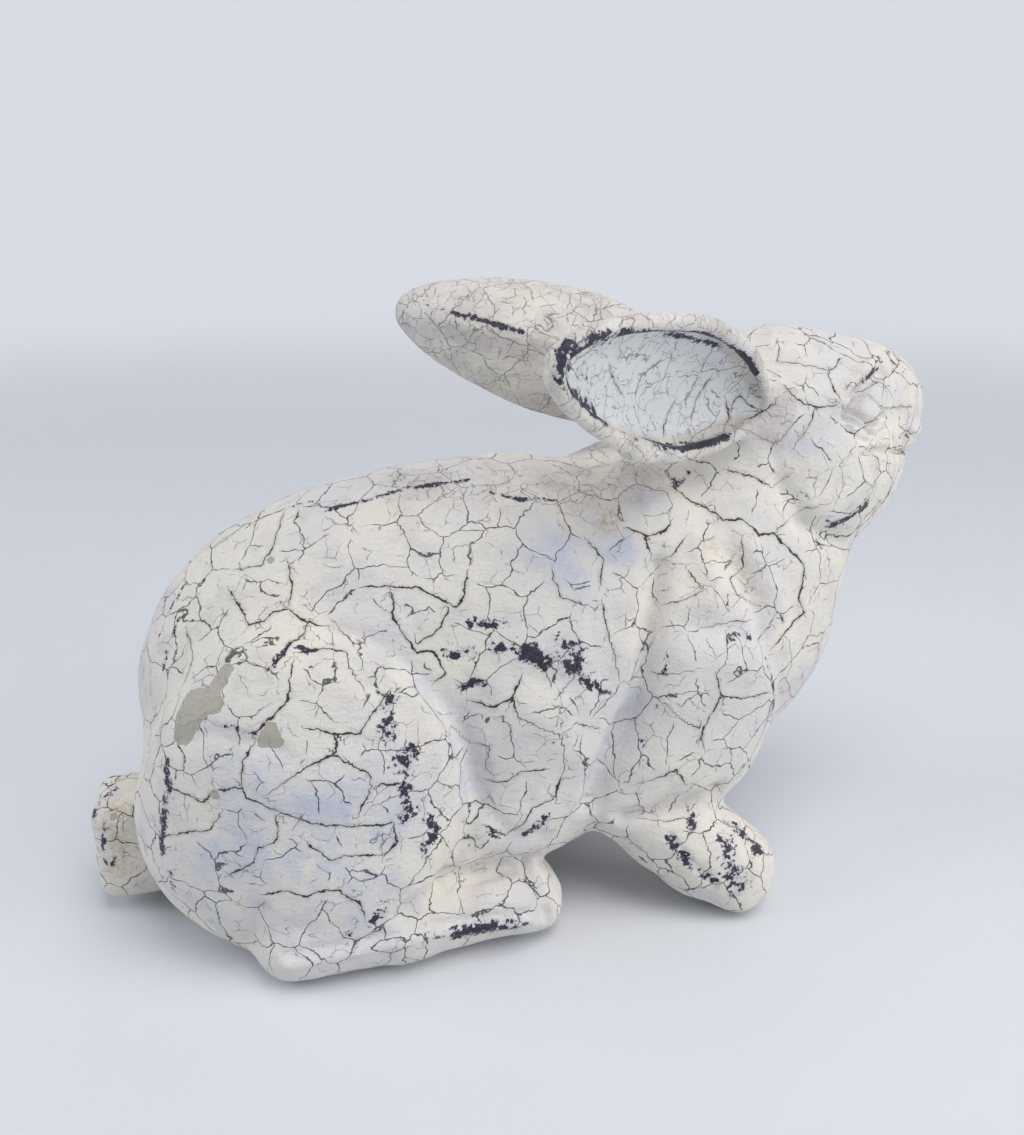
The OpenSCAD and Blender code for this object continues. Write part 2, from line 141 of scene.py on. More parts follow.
def turn(axis, degrees):
    """Turn about X, Y or Z, as a matrix for columns."""
    c = math.cos(math.radians(degrees))
    s = math.sin(math.radians(degrees))
    i, j = {"X": (1, 2), "Y": (2, 0), "Z": (0, 1)}[axis]
    m = np.eye(3)
    m[i, i] = m[j, j] = c
    m[j, i] = s
    m[i, j] = -s
    return m


HEAD_AXES = turn("Z", HEAD_TURN) @ turn("Y", -HEAD_LIFT) @ turn("X", HEAD_CANT)


def blended(a, b, k):
    """Smooth minimum of two distances, as in the part's source."""
    h = np.maximum(k - np.abs(a - b), 0) / k
    return np.minimum(a, b) - h * h * k / 4


def masses_at(points, shares, size):
    """Distance from points in mm to the blended masses, for one side mirrored onto the other."""
    p = points.copy()
    p[:, 1] = np.abs(p[:, 1])
    f = None
    for centre, radii, pitch, blend in shares:
        q = p - np.array(centre) * size
        r = np.array(radii) * size
        c = math.cos(math.radians(pitch))
        s = math.sin(math.radians(pitch))
        q = np.stack([q[:, 0] * c + q[:, 2] * s, q[:, 1], q[:, 2] * c - q[:, 0] * s], axis=1)
        k = np.linalg.norm(q / r, axis=1)
        g = np.linalg.norm(q / (r * r), axis=1)
        d = k * (k - 1) / np.maximum(g, 1e-9)
        f = d if f is None else blended(f, d, blend * size[2])
    return f


def chain_at(p, joints, flatten=1.0):
    """Distance to a limb of round joints (x, y, z, radius), where flatten is its height over its width."""
    f = None
    for (x0, y0, z0, r0), (x1, y1, z1, r1) in zip(joints, joints[1:]):
        a = np.array([x0, y0 * flatten, z0])
        ab = np.array([x1, y1 * flatten, z1]) - a
        q = p * np.array([1, flatten, 1]) - a
        t = np.clip(q @ ab / (ab @ ab), 0, 1)
        d = np.linalg.norm(q - t[:, None] * ab, axis=1) - (r0 + t * (r1 - r0))
        f = d if f is None else blended(f, d, LIMB_BLEND)
    return f


# Limbs and a middle toe of each, on the rabbit's left and mirrored onto its right: x, y, z, radius in mm
FORELEG = [(32, 38, 44, 16), (48, 43, 31, 16.5), (61, 47, 21, 17), (71, 50, 15, 16)]
HIND_FOOT = [(-86, 54, 13, 14), (-50, 51, 14, 15), (-10, 46, 14, 14)]
FOOT_FLATTEN = 0.8
FORE_TOE = [(62, 49, 16, 6.0), (75, 49.5, 9, 6.5)]
HIND_TOE = [(-22, 47, 17, 6.5), (0, 44, 11, 7.0)]
# Each toe's place to the side of the middle, and how much further its tip reaches
FORE_TOES = [(-9.0, -4.0), (-3.0, -0.5), (3.0, -0.5), (9.0, -4.0)]
HIND_TOES = [(-11.5, -2.0), (-4.0, 0.5), (4.0, 0.5), (11.5, -2.0)]


def with_toes(limb, q, toe, places):
    (x0, y0, z0, r0), (x1, y1, z1, r1) = toe
    for side, reach in places:
        one = chain_at(q, [(x0, y0 + side, z0, r0), (x1 + reach, y1 + side, z1, r1)])
        limb = blended(limb, one, TOE_BLEND)
    return limb


def limbs_at(p):
    """Distances to the forelegs and to the hind feet, cut off at the ground."""
    q = p.copy()
    q[:, 1] = np.abs(q[:, 1])
    fore = with_toes(chain_at(q, FORELEG), q, FORE_TOE, FORE_TOES)
    hind = with_toes(chain_at(q, HIND_FOOT, FOOT_FLATTEN), q, HIND_TOE, HIND_TOES)
    return np.maximum(fore, -p[:, 2]), np.maximum(hind, -p[:, 2])


# Ears, in the frame of the head and then of the right ear: X to the tip, Y out of the cup, Z across
EAR_L = 130.0
EAR_W = 46.0
EAR_D = 17.0
EAR_WALL = 4.0
EAR_RIM = 2.7
EAR_LIP = 3.4
EAR_ROOT = 8.5
EAR_FROM = 9.0
CUP_FROM = 10.0
CUP_TO = 124.5
EAR_REACH = 8.0
EAR_MARGIN = (2, 4, 1)
EAR_BACK = 2
CUP_RISE = 1.5
CUP_BLEND = 2.0
RIM_RISE = 0.4
RIM_BLEND = 1.5
# A keel along the back of the ear, which drifts across it towards the tip
EAR_KEEL = 2.0
KEEL_W = 4.5
KEEL_FROM = 4
KEEL_DRIFT = 6
LEAST_HALF = 0.4
FAR = 99.0
EAR_SEAT = np.array([-0.20, -0.22, 0.10]) * HEAD_SIZE
EAR_AXES = turn("Z", 180 + 21) @ turn("Y", -19) @ turn("X", -14)


def leaf_at(u):
    """Half width of a leaf at a share of its length from root to tip, as a share of its largest."""
    u = np.clip(u, 0, 1)
    return np.maximum(np.sin(math.pi * u ** 0.9), 0) ** (0.8 - 0.3 * u)


def ear_share(x):
    return (x - EAR_FROM) / (EAR_L - EAR_FROM)


def ear_half(x):
    """Half width and depth of an ear, which ends in its root."""
    u = ear_share(x)
    root = EAR_ROOT * np.clip(1 - u, 0, 1)
    w = np.maximum(np.maximum(EAR_W / 2 * leaf_at(u), root), LEAST_HALF)
    return w, np.maximum(np.maximum(EAR_D * leaf_at(u) ** 1.2, root), LEAST_HALF)


def cup_half(x):
    """Half width and depth of an ear's hollow."""
    leaf = leaf_at((x - CUP_FROM) / (CUP_TO - CUP_FROM))
    w = np.maximum((EAR_W / 2 - EAR_LIP) * leaf, LEAST_HALF)
    return w, np.maximum((EAR_D - EAR_WALL) * leaf ** 1.2, LEAST_HALF)


def oval(x, y, z, half):
    """Distance to an oval tube along X whose half sizes at X are given by half."""
    w, d = half(x)
    w_on, d_on = half(x + 0.5)
    w_slope = np.clip((w_on - w) * 2, -4, 4)
    d_slope = np.clip((d_on - d) * 2, -4, 4)
    k = np.maximum(np.sqrt((y / d) ** 2 + (z / w) ** 2), 1e-6)
    g = np.sqrt((y / d ** 2) ** 2 + (z / w ** 2) ** 2) / k
    slope = ((y / d) ** 2 * np.abs(d_slope) + (z / w) ** 2 * np.abs(w_slope)) / k ** 2
    return (k - 1) / np.maximum(g, 1e-6) / np.sqrt(1 + slope ** 2)


def ear_outline():
    """Middle line of the rolled rim on one side, from root to tip, in the ear's X and Z."""
    t = np.linspace(0, 1, 26)
    x = EAR_FROM + (EAR_L - EAR_FROM) * (0.5 - 0.5 * np.cos(math.pi * t))
    line = np.stack([x, EAR_W / 2 * leaf_at(ear_share(x))], axis=1)
    along = np.gradient(line, axis=0)
    along[-1] = (0, -1)
    along /= np.linalg.norm(along, axis=1)[:, None]
    line += EAR_RIM * 0.8 * np.stack([along[:, 1], -along[:, 0]], axis=1)
    return line[line[:, 1] > -0.01]


EAR_EDGE = ear_outline()


def to_edge(x, z):
    """Distance in the ear's plane to the middle line of its rim."""
    best = np.full(len(x), FAR)
    spots = np.stack([x, np.abs(z)], axis=1)
    for a, b in zip(EAR_EDGE, EAR_EDGE[1:]):
        r = spots - a
        t = np.clip(r @ (b - a) / ((b - a) @ (b - a)), 0, 1)
        best = np.minimum(best, np.linalg.norm(r - t[:, None] * (b - a), axis=1))
    return best


def ear_frame(q):
    """Points of the head's frame in the frame of the nearer ear."""
    return (np.stack([q[:, 0], -np.abs(q[:, 1]), q[:, 2]], axis=1) - EAR_SEAT) @ EAR_AXES


def ears_at(q):
    """Distance to both ears from points in the head's frame."""
    box = ear_frame(q) - (EAR_L / 2, -EAR_D / 2, 0)
    box = np.abs(box) - (np.array([EAR_L / 2, EAR_D / 2, EAR_W / 2]) + EAR_MARGIN)
    result = np.linalg.norm(np.maximum(box, 0), axis=1)
    near = result < EAR_REACH
    x, y, z = ear_frame(q[near]).T
    u = ear_share(x)
    keel = EAR_KEEL * np.exp(-((z - KEEL_FROM + KEEL_DRIFT * u) / KEEL_W) ** 2)
    keel *= (y < 0) * np.clip(5 * u, 0, 1) * np.clip(9 * (1 - u), 0, 1)
    outer = oval(x, y, z, ear_half) - keel
    cup = np.maximum(oval(x, y, z, cup_half), np.maximum(CUP_FROM - x, x - CUP_TO))
    bowl = -blended(-np.maximum(np.maximum(outer, y - CUP_RISE), x - EAR_L), cup, CUP_BLEND)
    rim = np.sqrt(to_edge(x, z) ** 2 + (y - RIM_RISE) ** 2) - EAR_RIM * np.clip(6 * u, 0, 1)
    result[near] = np.maximum(blended(bowl, rim, RIM_BLEND), -x - EAR_BACK)
    return result


# The tail, a rounded block that is let into the rump
TAIL_PLACE = np.array([-0.505, 0, 0.155]) * TRUNK_SIZE
TAIL_HALF = np.array([26.0, 30.0, 39.0]) / 2
TAIL_ROUND = 7.0


def tail_at(p):
    q = np.abs(p - TAIL_PLACE) - (TAIL_HALF - TAIL_ROUND)
    return np.linalg.norm(np.maximum(q, 0), axis=1) + np.minimum(q.max(axis=1), 0) - TAIL_ROUND


def head_frame(p):
    return (p - HEAD_PLACE) @ HEAD_AXES


def sculpt_at(points):
    """Distance in mm from points in metres to the whole sculpture."""
    p = points / MM + MIDDLE
    fore, hind = limbs_at(p)
    f = np.maximum(masses_at(p, TRUNK_SHARES, TRUNK_SIZE), GROUND - p[:, 2])
    f = blended(f, fore, FORELEG_BLEND)
    f = blended(f, hind, FOOT_BLEND)
    f = blended(f, tail_at(p), TAIL_BLEND)
    q = head_frame(p)
    head = masses_at(q, HEAD_SHARES, HEAD_SIZE)
    head = blended(head, ears_at(q), EAR_BLEND)
    return blended(f, head, NECK_BLEND)


def field_of(points, chunk=200000):
    return np.concatenate([sculpt_at(points[i:i + chunk]) for i in range(0, len(points), chunk)])


def gradient_at(points, base, step=0.0001):
    """Slope of field_of at points where its value is base."""
    rows = [(field_of(points + step * axis) - base) / step for axis in np.eye(3)]
    return np.stack(rows, axis=1)


# Rays start and end this far from the camera, in metres. Each step is this share of the distance to the
# sculpture, within these limits in mm.
RAY_FROM = 0.2
RAY_TO = 0.7
RAY_SHARE = 0.7
RAY_LIMITS = (-5, 20)
RAY_STEPS = 200


def traced(pixels):
    """Where rays through pixels of the photo's frame first meet the sculpture, in metres."""
    place = camera_frame()[0]
    rays = pixel_rays(pixels)
    t = np.full(len(rays), RAY_FROM)
    for _ in range(RAY_STEPS):
        t += np.clip(sculpt_at(place + rays * t[:, None]), *RAY_LIMITS) * RAY_SHARE * MM
    return place + rays * np.minimum(t, RAY_TO)[:, None]


# Strokes were noted over enlarged crops of the photo: left, top and scale. Each table lists them by
# crop and part, and ends each stroke with its points.
REAR = (60, 430, 2.8)
FRONT = (430, 440, 3.0)
CROWN = (380, 270, 3.0)

# Creases and ridges, for both sides: height in mm (below 0 is cut in), width in mm
RELIEF = [
    (REAR, "trunk", [
        (-2.0, 4.0, [(760, 560), (880, 595), (1000, 680), (1095, 800), (1158, 950), (1165, 1050),
            (1125, 1180), (1070, 1275), (975, 1370)]),
        (1.2, 6.0, [(840, 640), (950, 700), (1030, 800), (1085, 940), (1095, 1050), (1060, 1160),
            (990, 1270)]),
    ]),
    (FRONT, "trunk", [
        (-3.2, 4.2, [(685, 380), (672, 500), (652, 600), (642, 700), (612, 800), (560, 890), (515, 980),
            (482, 1080)]),
        (1.4, 6.0, [(600, 640), (590, 740), (540, 840), (470, 960), (440, 1060)]),
        (1.2, 7.0, [(760, 700), (740, 800), (690, 900), (620, 1000)]),
        (-3.0, 3.2, [(860, 1052), (790, 1082), (720, 1106), (650, 1126), (580, 1136)]),
    ]),
    (REAR, "trunk", [
        (-2.4, 2.8, [(1080, 1262), (1180, 1240), (1300, 1214), (1370, 1200)]),
        (-0.9, 1.8, [(640, 1468), (760, 1448), (900, 1420), (1050, 1388), (1200, 1368), (1310, 1352)]),
        (1.1, 2.2, [(640, 1500), (760, 1476), (900, 1444), (1050, 1408), (1200, 1390), (1300, 1376)]),
        (-1.2, 3.5, [(560, 1350), (530, 1400), (545, 1440)]),
    ]),
    (FRONT, "trunk", [
        (-1.4, 4.5, [(1010, 600), (1040, 680), (1052, 790), (1030, 880)]),
        (1.6, 5.0, [(820, 360), (850, 420), (850, 480)]),
        (-1.2, 4.0, [(900, 340), (930, 420), (980, 500), (1010, 590)]),
        (1.4, 5.0, [(960, 330), (1010, 420), (1050, 500)]),
        (-1.0, 4.0, [(760, 560), (850, 570), (930, 570)]),
        (1.2, 6.0, [(780, 640), (880, 650), (960, 680)]),
        (-0.9, 4.0, [(250, 690), (330, 720), (420, 740)]),
        (1.0, 7.0, [(300, 800), (380, 840), (420, 940)]),
        (-1.0, 3.0, [(130, 1000), (180, 1120), (240, 1190), (330, 1190)]),
        (-0.8, 1.5, [(720, 1190), (770, 1250), (830, 1310), (850, 1345)]),
        (-0.8, 1.5, [(880, 1120), (930, 1190), (985, 1245)]),
    ]),
    (REAR, "trunk", [
        (-0.8, 3.0, [(330, 880), (420, 850), (540, 880), (620, 900)]),
        (0.7, 5.0, [(660, 700), (760, 690), (840, 760)]),
        (0.7, 6.0, [(560, 980), (700, 1020), (820, 1010)]),
    ]),
    (CROWN, "head", [
        (-2.4, 2.2, [(1405, 430), (1425, 385), (1450, 350), (1480, 318), (1510, 300)]),
        (1.6, 3.2, [(1380, 400), (1410, 340), (1450, 300), (1490, 275)]),
        (-0.9, 1.4, [(1412, 480), (1440, 508), (1470, 516), (1505, 500)]),
        (-1.6, 1.3, [(1552, 548), (1525, 545), (1500, 542), (1475, 546), (1450, 556)]),
        (-1.2, 1.1, [(1600, 500), (1582, 485), (1570, 500), (1580, 520)]),
        (-1.0, 1.5, [(1590, 420), (1575, 450), (1560, 480), (1562, 520)]),
        (0.8, 3.0, [(1530, 430), (1530, 470), (1515, 510)]),
        (-1.5, 5.0, [(1200, 560), (1260, 530), (1330, 505), (1390, 478)]),
        (1.2, 6.0, [(1250, 610), (1330, 590), (1400, 570)]),
        (1.3, 7.0, [(1300, 700), (1380, 690), (1450, 660)]),
        (-1.2, 4.0, [(1200, 640), (1250, 720), (1310, 780), (1400, 830)]),
        (-2.0, 4.0, [(1440, 828), (1390, 820), (1330, 790), (1270, 760)]),
    ]),
    (CROWN, "trunk", [
        (1.6, 5.0, [(700, 552), (760, 556), (800, 575)]),
    ]),
]

# Dark undercoat that shows through: strength, width in mm
SMEARS = [
    (REAR, "trunk", [
        (1.2, 1.1, [(750, 222), (860, 195), (960, 165), (1050, 152), (1140, 142)]),
        (0.8, 0.9, [(1150, 158), (1200, 175), (1290, 195), (1390, 196)]),
        (0.8, 1.0, [(440, 320), (560, 250), (700, 200)]),
        (0.7, 1.2, [(350, 430), (270, 600), (225, 800), (215, 940)]),
        (0.6, 1.0, [(400, 420), (320, 560), (280, 700)]),
        (1.0, 1.6, [(300, 920), (300, 1000), (292, 1100), (285, 1190)]),
        (0.9, 1.5, [(310, 1240), (318, 1280)]),
        (0.85, 3.2, [(915, 740), (920, 830), (935, 930), (980, 900), (965, 1000), (975, 1080)]),
        (0.95, 2.2, [(1030, 1090), (1045, 1120), (1020, 1160), (1010, 1180)]),
        (0.8, 2.0, [(900, 1350), (880, 1370)]),
        (0.8, 1.2, [(1010, 1270), (985, 1290)]),
        (0.75, 1.5, [(370, 850), (420, 820), (470, 830), (540, 850)]),
        (0.8, 1.2, [(590, 670), (640, 600), (690, 620)]),
        (0.8, 1.0, [(660, 1465), (760, 1448), (860, 1430)]),
        (0.6, 1.5, [(790, 1415), (810, 1412)]),
        (1.3, 2.8, [(1120, 1405), (1190, 1395), (1260, 1388)]),
        (0.8, 1.2, [(900, 1440), (1020, 1418), (1120, 1400), (1280, 1380)]),
    ]),
    (FRONT, "trunk", [
        (1.1, 3.2, [(300, 640), (350, 660), (400, 675), (440, 690)]),
        (0.9, 3.0, [(200, 630), (260, 625), (310, 640)]),
        (0.8, 2.0, [(120, 545), (200, 550), (230, 545)]),
        (0.8, 2.5, [(55, 640), (120, 635)]),
        (1.0, 1.8, [(100, 745), (125, 725), (155, 722)]),
        (1.1, 1.6, [(465, 725), (500, 740), (522, 750)]),
        (0.7, 4.0, [(400, 610), (440, 640)]),
        (1.0, 2.0, [(630, 560), (645, 600), (655, 640)]),
        (0.9, 1.0, [(655, 640), (662, 700)]),
        (0.8, 1.3, [(715, 655), (708, 695)]),
        (1.0, 2.0, [(640, 900), (640, 955)]),
        (0.7, 1.5, [(635, 970), (630, 1020)]),
        (1.0, 1.2, [(675, 800), (720, 802)]),
        (0.8, 1.6, [(900, 590), (940, 575), (965, 590)]),
        (0.9, 1.4, [(1018, 655), (1028, 740), (1022, 850)]),
        (0.8, 1.2, [(940, 980), (985, 945)]),
        (1.2, 1.5, [(712, 90), (735, 140)]),
        (1.2, 1.2, [(780, 95), (745, 135)]),
        (1.1, 1.1, [(175, 1175), (215, 1188), (245, 1180)]),
        (1.1, 1.6, [(290, 1185), (350, 1135)]),
        (0.9, 1.6, [(480, 1100), (505, 1070)]),
        (1.2, 1.7, [(722, 1195), (760, 1250), (800, 1290), (845, 1325)]),
        (1.0, 2.2, [(890, 1140), (950, 1190), (985, 1230)]),
        (0.9, 4.0, [(885, 1210), (900, 1290), (930, 1340)]),
        (0.8, 2.0, [(790, 1100), (785, 1150)]),
        (0.9, 1.2, [(630, 1250), (650, 1275)]),
    ]),
    (REAR, "trunk", [
        (0.9, 1.0, [(150, 1060), (125, 1100), (118, 1180), (130, 1235), (155, 1200)]),
        (0.7, 1.6, [(100, 1020), (120, 985), (160, 1000)]),
    ]),
    (CROWN, "head", [
        (1.7, 1.5, [(1500, 296), (1465, 330), (1438, 352)]),
        (1.3, 0.9, [(1438, 352), (1420, 385), (1408, 425)]),
        (0.9, 1.5, [(1345, 750), (1360, 775), (1375, 765)]),
        (0.9, 1.4, [(1400, 745), (1425, 735), (1460, 700)]),
        (0.6, 3.5, [(1330, 820), (1440, 700)]),
        (0.9, 0.8, [(1500, 543), (1470, 548)]),
    ]),
    (CROWN, "ear", [
        (1.8, 1.1, [(225, 130), (300, 148), (370, 170), (425, 185)]),
        (0.6, 1.2, [(100, 100), (160, 110), (225, 130)]),
        (1.3, 1.7, [(566, 209), (541, 241), (548, 272), (535, 310), (548, 348), (592, 380), (642, 424)]),
        (1.3, 1.4, [(640, 200), (717, 190), (793, 184), (868, 192), (944, 208), (1010, 225)]),
        (0.7, 2.6, [(560, 300), (600, 240), (680, 215)]),
        (0.7, 2.0, [(600, 300), (640, 330), (620, 380)]),
    ]),
]

# Flakes that have fallen off, down to the casting
CHIPS = [
    (REAR, "trunk", [
        (1.0, 3.6, [(335, 860), (345, 800), (370, 760)]),
        (1.0, 3.2, [(370, 760), (420, 740), (450, 700), (465, 680)]),
        (1.0, 2.6, [(440, 770), (395, 790), (350, 850)]),
        (1.0, 2.4, [(590, 835), (560, 875), (610, 878), (595, 845)]),
        (1.0, 1.8, [(432, 1018), (434, 1022)]),
        (1.0, 1.4, [(588, 362), (590, 364)]),
        (1.0, 1.7, [(150, 1080), (150, 1084)]),
    ]),
]

# Tan stains, painted blue-grey shade, warm tints, and where the crackle is fine
STAINS = [
    (CROWN, "trunk", [
        (0.9, 2.6, [(670, 750), (700, 730), (690, 770)]),
        (0.6, 2.2, [(740, 690), (790, 685)]),
        (0.6, 2.6, [(985, 820), (1000, 835)]),
    ]),
    (CROWN, "head", [
        (0.5, 3.5, [(1440, 320), (1400, 380)]),
    ]),
    (FRONT, "trunk", [
        (0.6, 1.6, [(455, 1100), (600, 840)]),
        (0.4, 3.0, [(920, 360), (990, 480)]),
    ]),
    (REAR, "trunk", [
        (0.7, 5.0, [(165, 1060), (165, 1160), (170, 1230)]),
    ]),
]
# Blue-grey shade painted into the colour where the shoulder, the lower haunch and the head lie in shade:
# strength, width in mm
PAINTED_BLUE_SHADE_STROKES = [
    (CROWN, "trunk", [
        (0.8, 9.0, [(540, 860), (640, 900), (740, 860)]),
        (0.5, 6.0, [(780, 690), (860, 720)]),
    ]),
    (FRONT, "trunk", [
        (0.5, 6.0, [(600, 760), (520, 960), (470, 1080)]),
    ]),
    (REAR, "trunk", [
        (0.5, 6.0, [(900, 560), (1020, 700), (1110, 850), (1150, 1000)]),
        (0.4, 8.0, [(420, 1350), (620, 1400), (860, 1380)]),
        (0.7, 11.0, [(480, 1000), (680, 1030), (880, 1090)]),
        (0.7, 11.0, [(440, 1180), (640, 1220), (860, 1250)]),
    ]),
    (CROWN, "head", [
        (0.4, 4.0, [(1250, 540), (1380, 480), (1440, 380)]),
    ]),
]
FINES = [
    (CROWN, "trunk", [
        (1.0, 12.0, [(100, 640), (280, 640), (450, 640), (640, 640)]),
        (0.8, 8.0, [(700, 590), (800, 620)]),
    ]),
]

# Bold cracks: half width in mm
CRACKS = [
    (REAR, "trunk", [
        (0.45, [(640, 500), (690, 540), (680, 575), (640, 600), (610, 645)]),
        (0.35, [(690, 540), (755, 545), (770, 600)]),
        (0.50, [(680, 620), (760, 612), (800, 625), (810, 670), (840, 715)]),
        (0.55, [(650, 660), (640, 750), (610, 790), (545, 850)]),
        (0.40, [(480, 455), (500, 490), (530, 545), (570, 535), (600, 510), (640, 500)]),
        (0.30, [(625, 240), (600, 320), (560, 380), (500, 390)]),
        (0.30, [(640, 380), (650, 440), (640, 500), (680, 530)]),
        (0.40, [(540, 880), (515, 920), (510, 980), (520, 1030), (600, 1060), (700, 1100), (830, 1112),
            (930, 1100)]),
        (0.50, [(590, 1010), (650, 970), (700, 935), (770, 910), (830, 945), (870, 970), (865, 1010),
            (840, 1065)]),
        (0.45, [(700, 838), (770, 850), (775, 905)]),
        (0.45, [(770, 850), (840, 850), (870, 800), (915, 740)]),
        (0.35, [(870, 995), (940, 990)]),
        (0.40, [(310, 1005), (350, 1020), (400, 1045), (430, 1010), (510, 1000)]),
        (0.30, [(300, 1135), (360, 1125), (420, 1120), (445, 1080)]),
        (0.30, [(605, 1080), (610, 1150), (550, 1170), (545, 1210), (480, 1245)]),
        (0.40, [(580, 1300), (640, 1290), (690, 1310), (720, 1290), (780, 1290), (840, 1325), (850, 1355)]),
        (0.35, [(700, 1160), (760, 1210), (800, 1195), (900, 1190)]),
        (0.35, [(930, 1110), (945, 1150), (910, 1190)]),
        (0.50, [(930, 460), (935, 530), (960, 570), (1000, 620), (1050, 620), (1080, 680), (1060, 700)]),
        (0.45, [(1140, 410), (1130, 470), (1110, 500), (1060, 470), (1000, 440), (860, 440)]),
        (0.30, [(1090, 500), (1060, 560), (1000, 600)]),
        (0.50, [(1290, 700), (1265, 750), (1280, 800), (1330, 825), (1400, 850), (1410, 940), (1385, 1030)]),
        (0.35, [(1265, 750), (1220, 775), (1160, 760)]),
        (0.35, [(1405, 840), (1440, 820), (1490, 830)]),
        (0.30, [(1110, 840), (1150, 880), (1200, 885), (1195, 940)]),
        (0.35, [(1200, 985), (1250, 985), (1290, 960), (1350, 950)]),
        (0.40, [(1200, 1115), (1250, 1140), (1300, 1100), (1325, 1060), (1385, 1030)]),
        (0.30, [(1450, 640), (1440, 700), (1400, 740)]),
        (0.30, [(355, 570), (370, 640), (350, 700)]),
    ]),
    (FRONT, "trunk", [
        (0.45, [(735, 145), (780, 180), (830, 205), (880, 240), (940, 238), (985, 285), (1040, 275)]),
        (0.45, [(1030, 280), (1080, 330), (1120, 370), (1118, 430), (1105, 470), (1122, 520), (1075, 560),
            (1040, 620)]),
        (0.40, [(600, 270), (660, 292), (710, 268), (720, 250)]),
        (0.60, [(640, 290), (665, 340), (678, 400), (668, 480), (678, 530), (660, 600)]),
        (0.35, [(760, 305), (725, 350), (680, 380)]),
        (0.30, [(780, 400), (820, 450)]),
        (0.35, [(700, 492), (760, 480), (810, 458)]),
        (0.35, [(935, 310), (940, 380), (900, 420), (920, 460), (975, 490)]),
        (0.35, [(800, 570), (840, 560), (890, 548), (960, 540)]),
        (0.45, [(665, 702), (720, 700), (790, 685)]),
        (0.40, [(890, 590), (885, 660), (855, 700), (872, 765), (850, 810), (815, 870), (820, 920)]),
        (0.35, [(872, 768), (930, 775), (1005, 758)]),
        (0.35, [(720, 800), (770, 845), (815, 870)]),
        (0.30, [(630, 1025), (690, 1010), (740, 988), (762, 1025)]),
        (0.30, [(560, 1120), (620, 1145), (700, 1145), (790, 1130)]),
        (0.30, [(520, 500), (530, 560), (550, 640), (560, 700)]),
        (0.30, [(370, 400), (390, 470), (450, 490)]),
        (0.30, [(480, 310), (520, 360), (510, 430)]),
    ]),
    (CROWN, "head", [
        (0.40, [(1380, 270), (1345, 310), (1360, 350), (1375, 400)]),
        (0.30, [(1195, 240), (1195, 275), (1230, 280), (1340, 300)]),
        (0.30, [(1215, 350), (1250, 390), (1305, 412), (1380, 405), (1405, 440)]),
        (0.30, [(1305, 412), (1290, 470), (1255, 520)]),
        (0.30, [(1410, 540), (1370, 580), (1385, 640), (1360, 690)]),
        (0.30, [(1190, 780), (1270, 720), (1340, 695)]),
        (0.25, [(1520, 415), (1560, 410), (1600, 412)]),
        (0.35, [(1050, 600), (1120, 620), (1180, 650), (1220, 620)]),
    ]),
    (CROWN, "ear", [
        (0.35, [(1060, 395), (1080, 375), (1100, 400), (1120, 412)]),
        (0.35, [(1112, 442), (1140, 428), (1175, 405)]),
        (0.25, [(935, 440), (950, 390), (985, 330)]),
        (0.25, [(850, 490), (860, 440), (880, 400)]),
        (0.25, [(770, 370), (780, 320), (840, 275)]),
        (0.25, [(690, 290), (700, 330), (720, 370)]),
        (0.25, [(1040, 400), (1050, 440), (1030, 480)]),
        (0.25, [(320, 60), (340, 130), (390, 160)]),
        (0.25, [(430, 60), (470, 120), (490, 190)]),
    ]),
]


def folded(p, part):
    """Points of the sculpture in the frame of a part, with the rabbit's left side folded onto its right."""
    if part == "trunk":
        return np.stack([p[:, 0], -np.abs(p[:, 1]), p[:, 2]], axis=1)
    q = head_frame(p)
    return np.stack([q[:, 0], -np.abs(q[:, 1]), q[:, 2]], axis=1)


def laid_down(*tables):
    """Each table as a list of strokes: part, values, and the line of points on the sculpture."""
    rows = [[(crop, part, *one) for crop, part, strokes in table for one in strokes] for table in tables]
    pixels = [np.array(points, float) / crop[2] + crop[:2] for table in rows for crop, *_, points in table]
    spots = traced(np.concatenate(pixels)) / MM + MIDDLE
    lines = iter(np.split(spots, np.cumsum([len(line) for line in pixels])[:-1]))
    return [[(part, *values, folded(next(lines), part)) for _, part, *values, _ in table] for table in rows]


creases, smears, chips, stains, painted_blue_shades, fines, bold_cracks = laid_down(
    RELIEF, SMEARS, CHIPS, STAINS, PAINTED_BLUE_SHADE_STROKES, FINES, CRACKS
)

# Nose and mouth, for both sides: height and width in mm, and points across and up from the head's middle
FACE = [
    (-1.3, 1.1, [(0, -6), (0, -16)]),
    (-1.7, 1.3, [(0, -16), (5, -18.3), (11, -19), (17, -17.5), (22, -14.5)]),
    (-1.5, 1.2, [(2.6, -4.5), (5.5, -2.2), (7.5, 1.2)]),
    (1.0, 2.0, [(0, 0.5), (3, 1.5), (5, 3.5)]),
    (0.8, 3.5, [(6, -11), (12, -11.5), (17, -10)]),
    (0.7, 2.2, [(0, -22), (5, -23), (10, -22.5)]),
]


FACE_STEPS = 60


def faced(points):
    """Where lines along the head, at these places across and up, meet the face, in the head's frame."""
    q = np.array([(HEAD_SIZE[0], y, z) for y, z in points], float)
    for _ in range(FACE_STEPS):
        q[:, 0] -= RAY_SHARE * sculpt_at((HEAD_PLACE + q @ HEAD_AXES.T - MIDDLE) * MM)
    return q * (1, -1, 1)


creases += [("head", height, width, faced(points)) for height, width, points in FACE]

# The eye, in the frame of the head: its middle, the ways to its front corner and top, and its half sizes
EYE = np.array([7.3, -28.0, 6.0])
EYE_ALONG = np.array([14.6, 1.5, -2.7])
EYE_UP = np.array([3.6, 4.9, 10.3])
EYE_HALF = (7.6, 4.9)
EYE_REACH = 16.0
EYE_BALL = 1.5
EYE_POINT = 0.45
EYE_BOLDNESS = 1.25
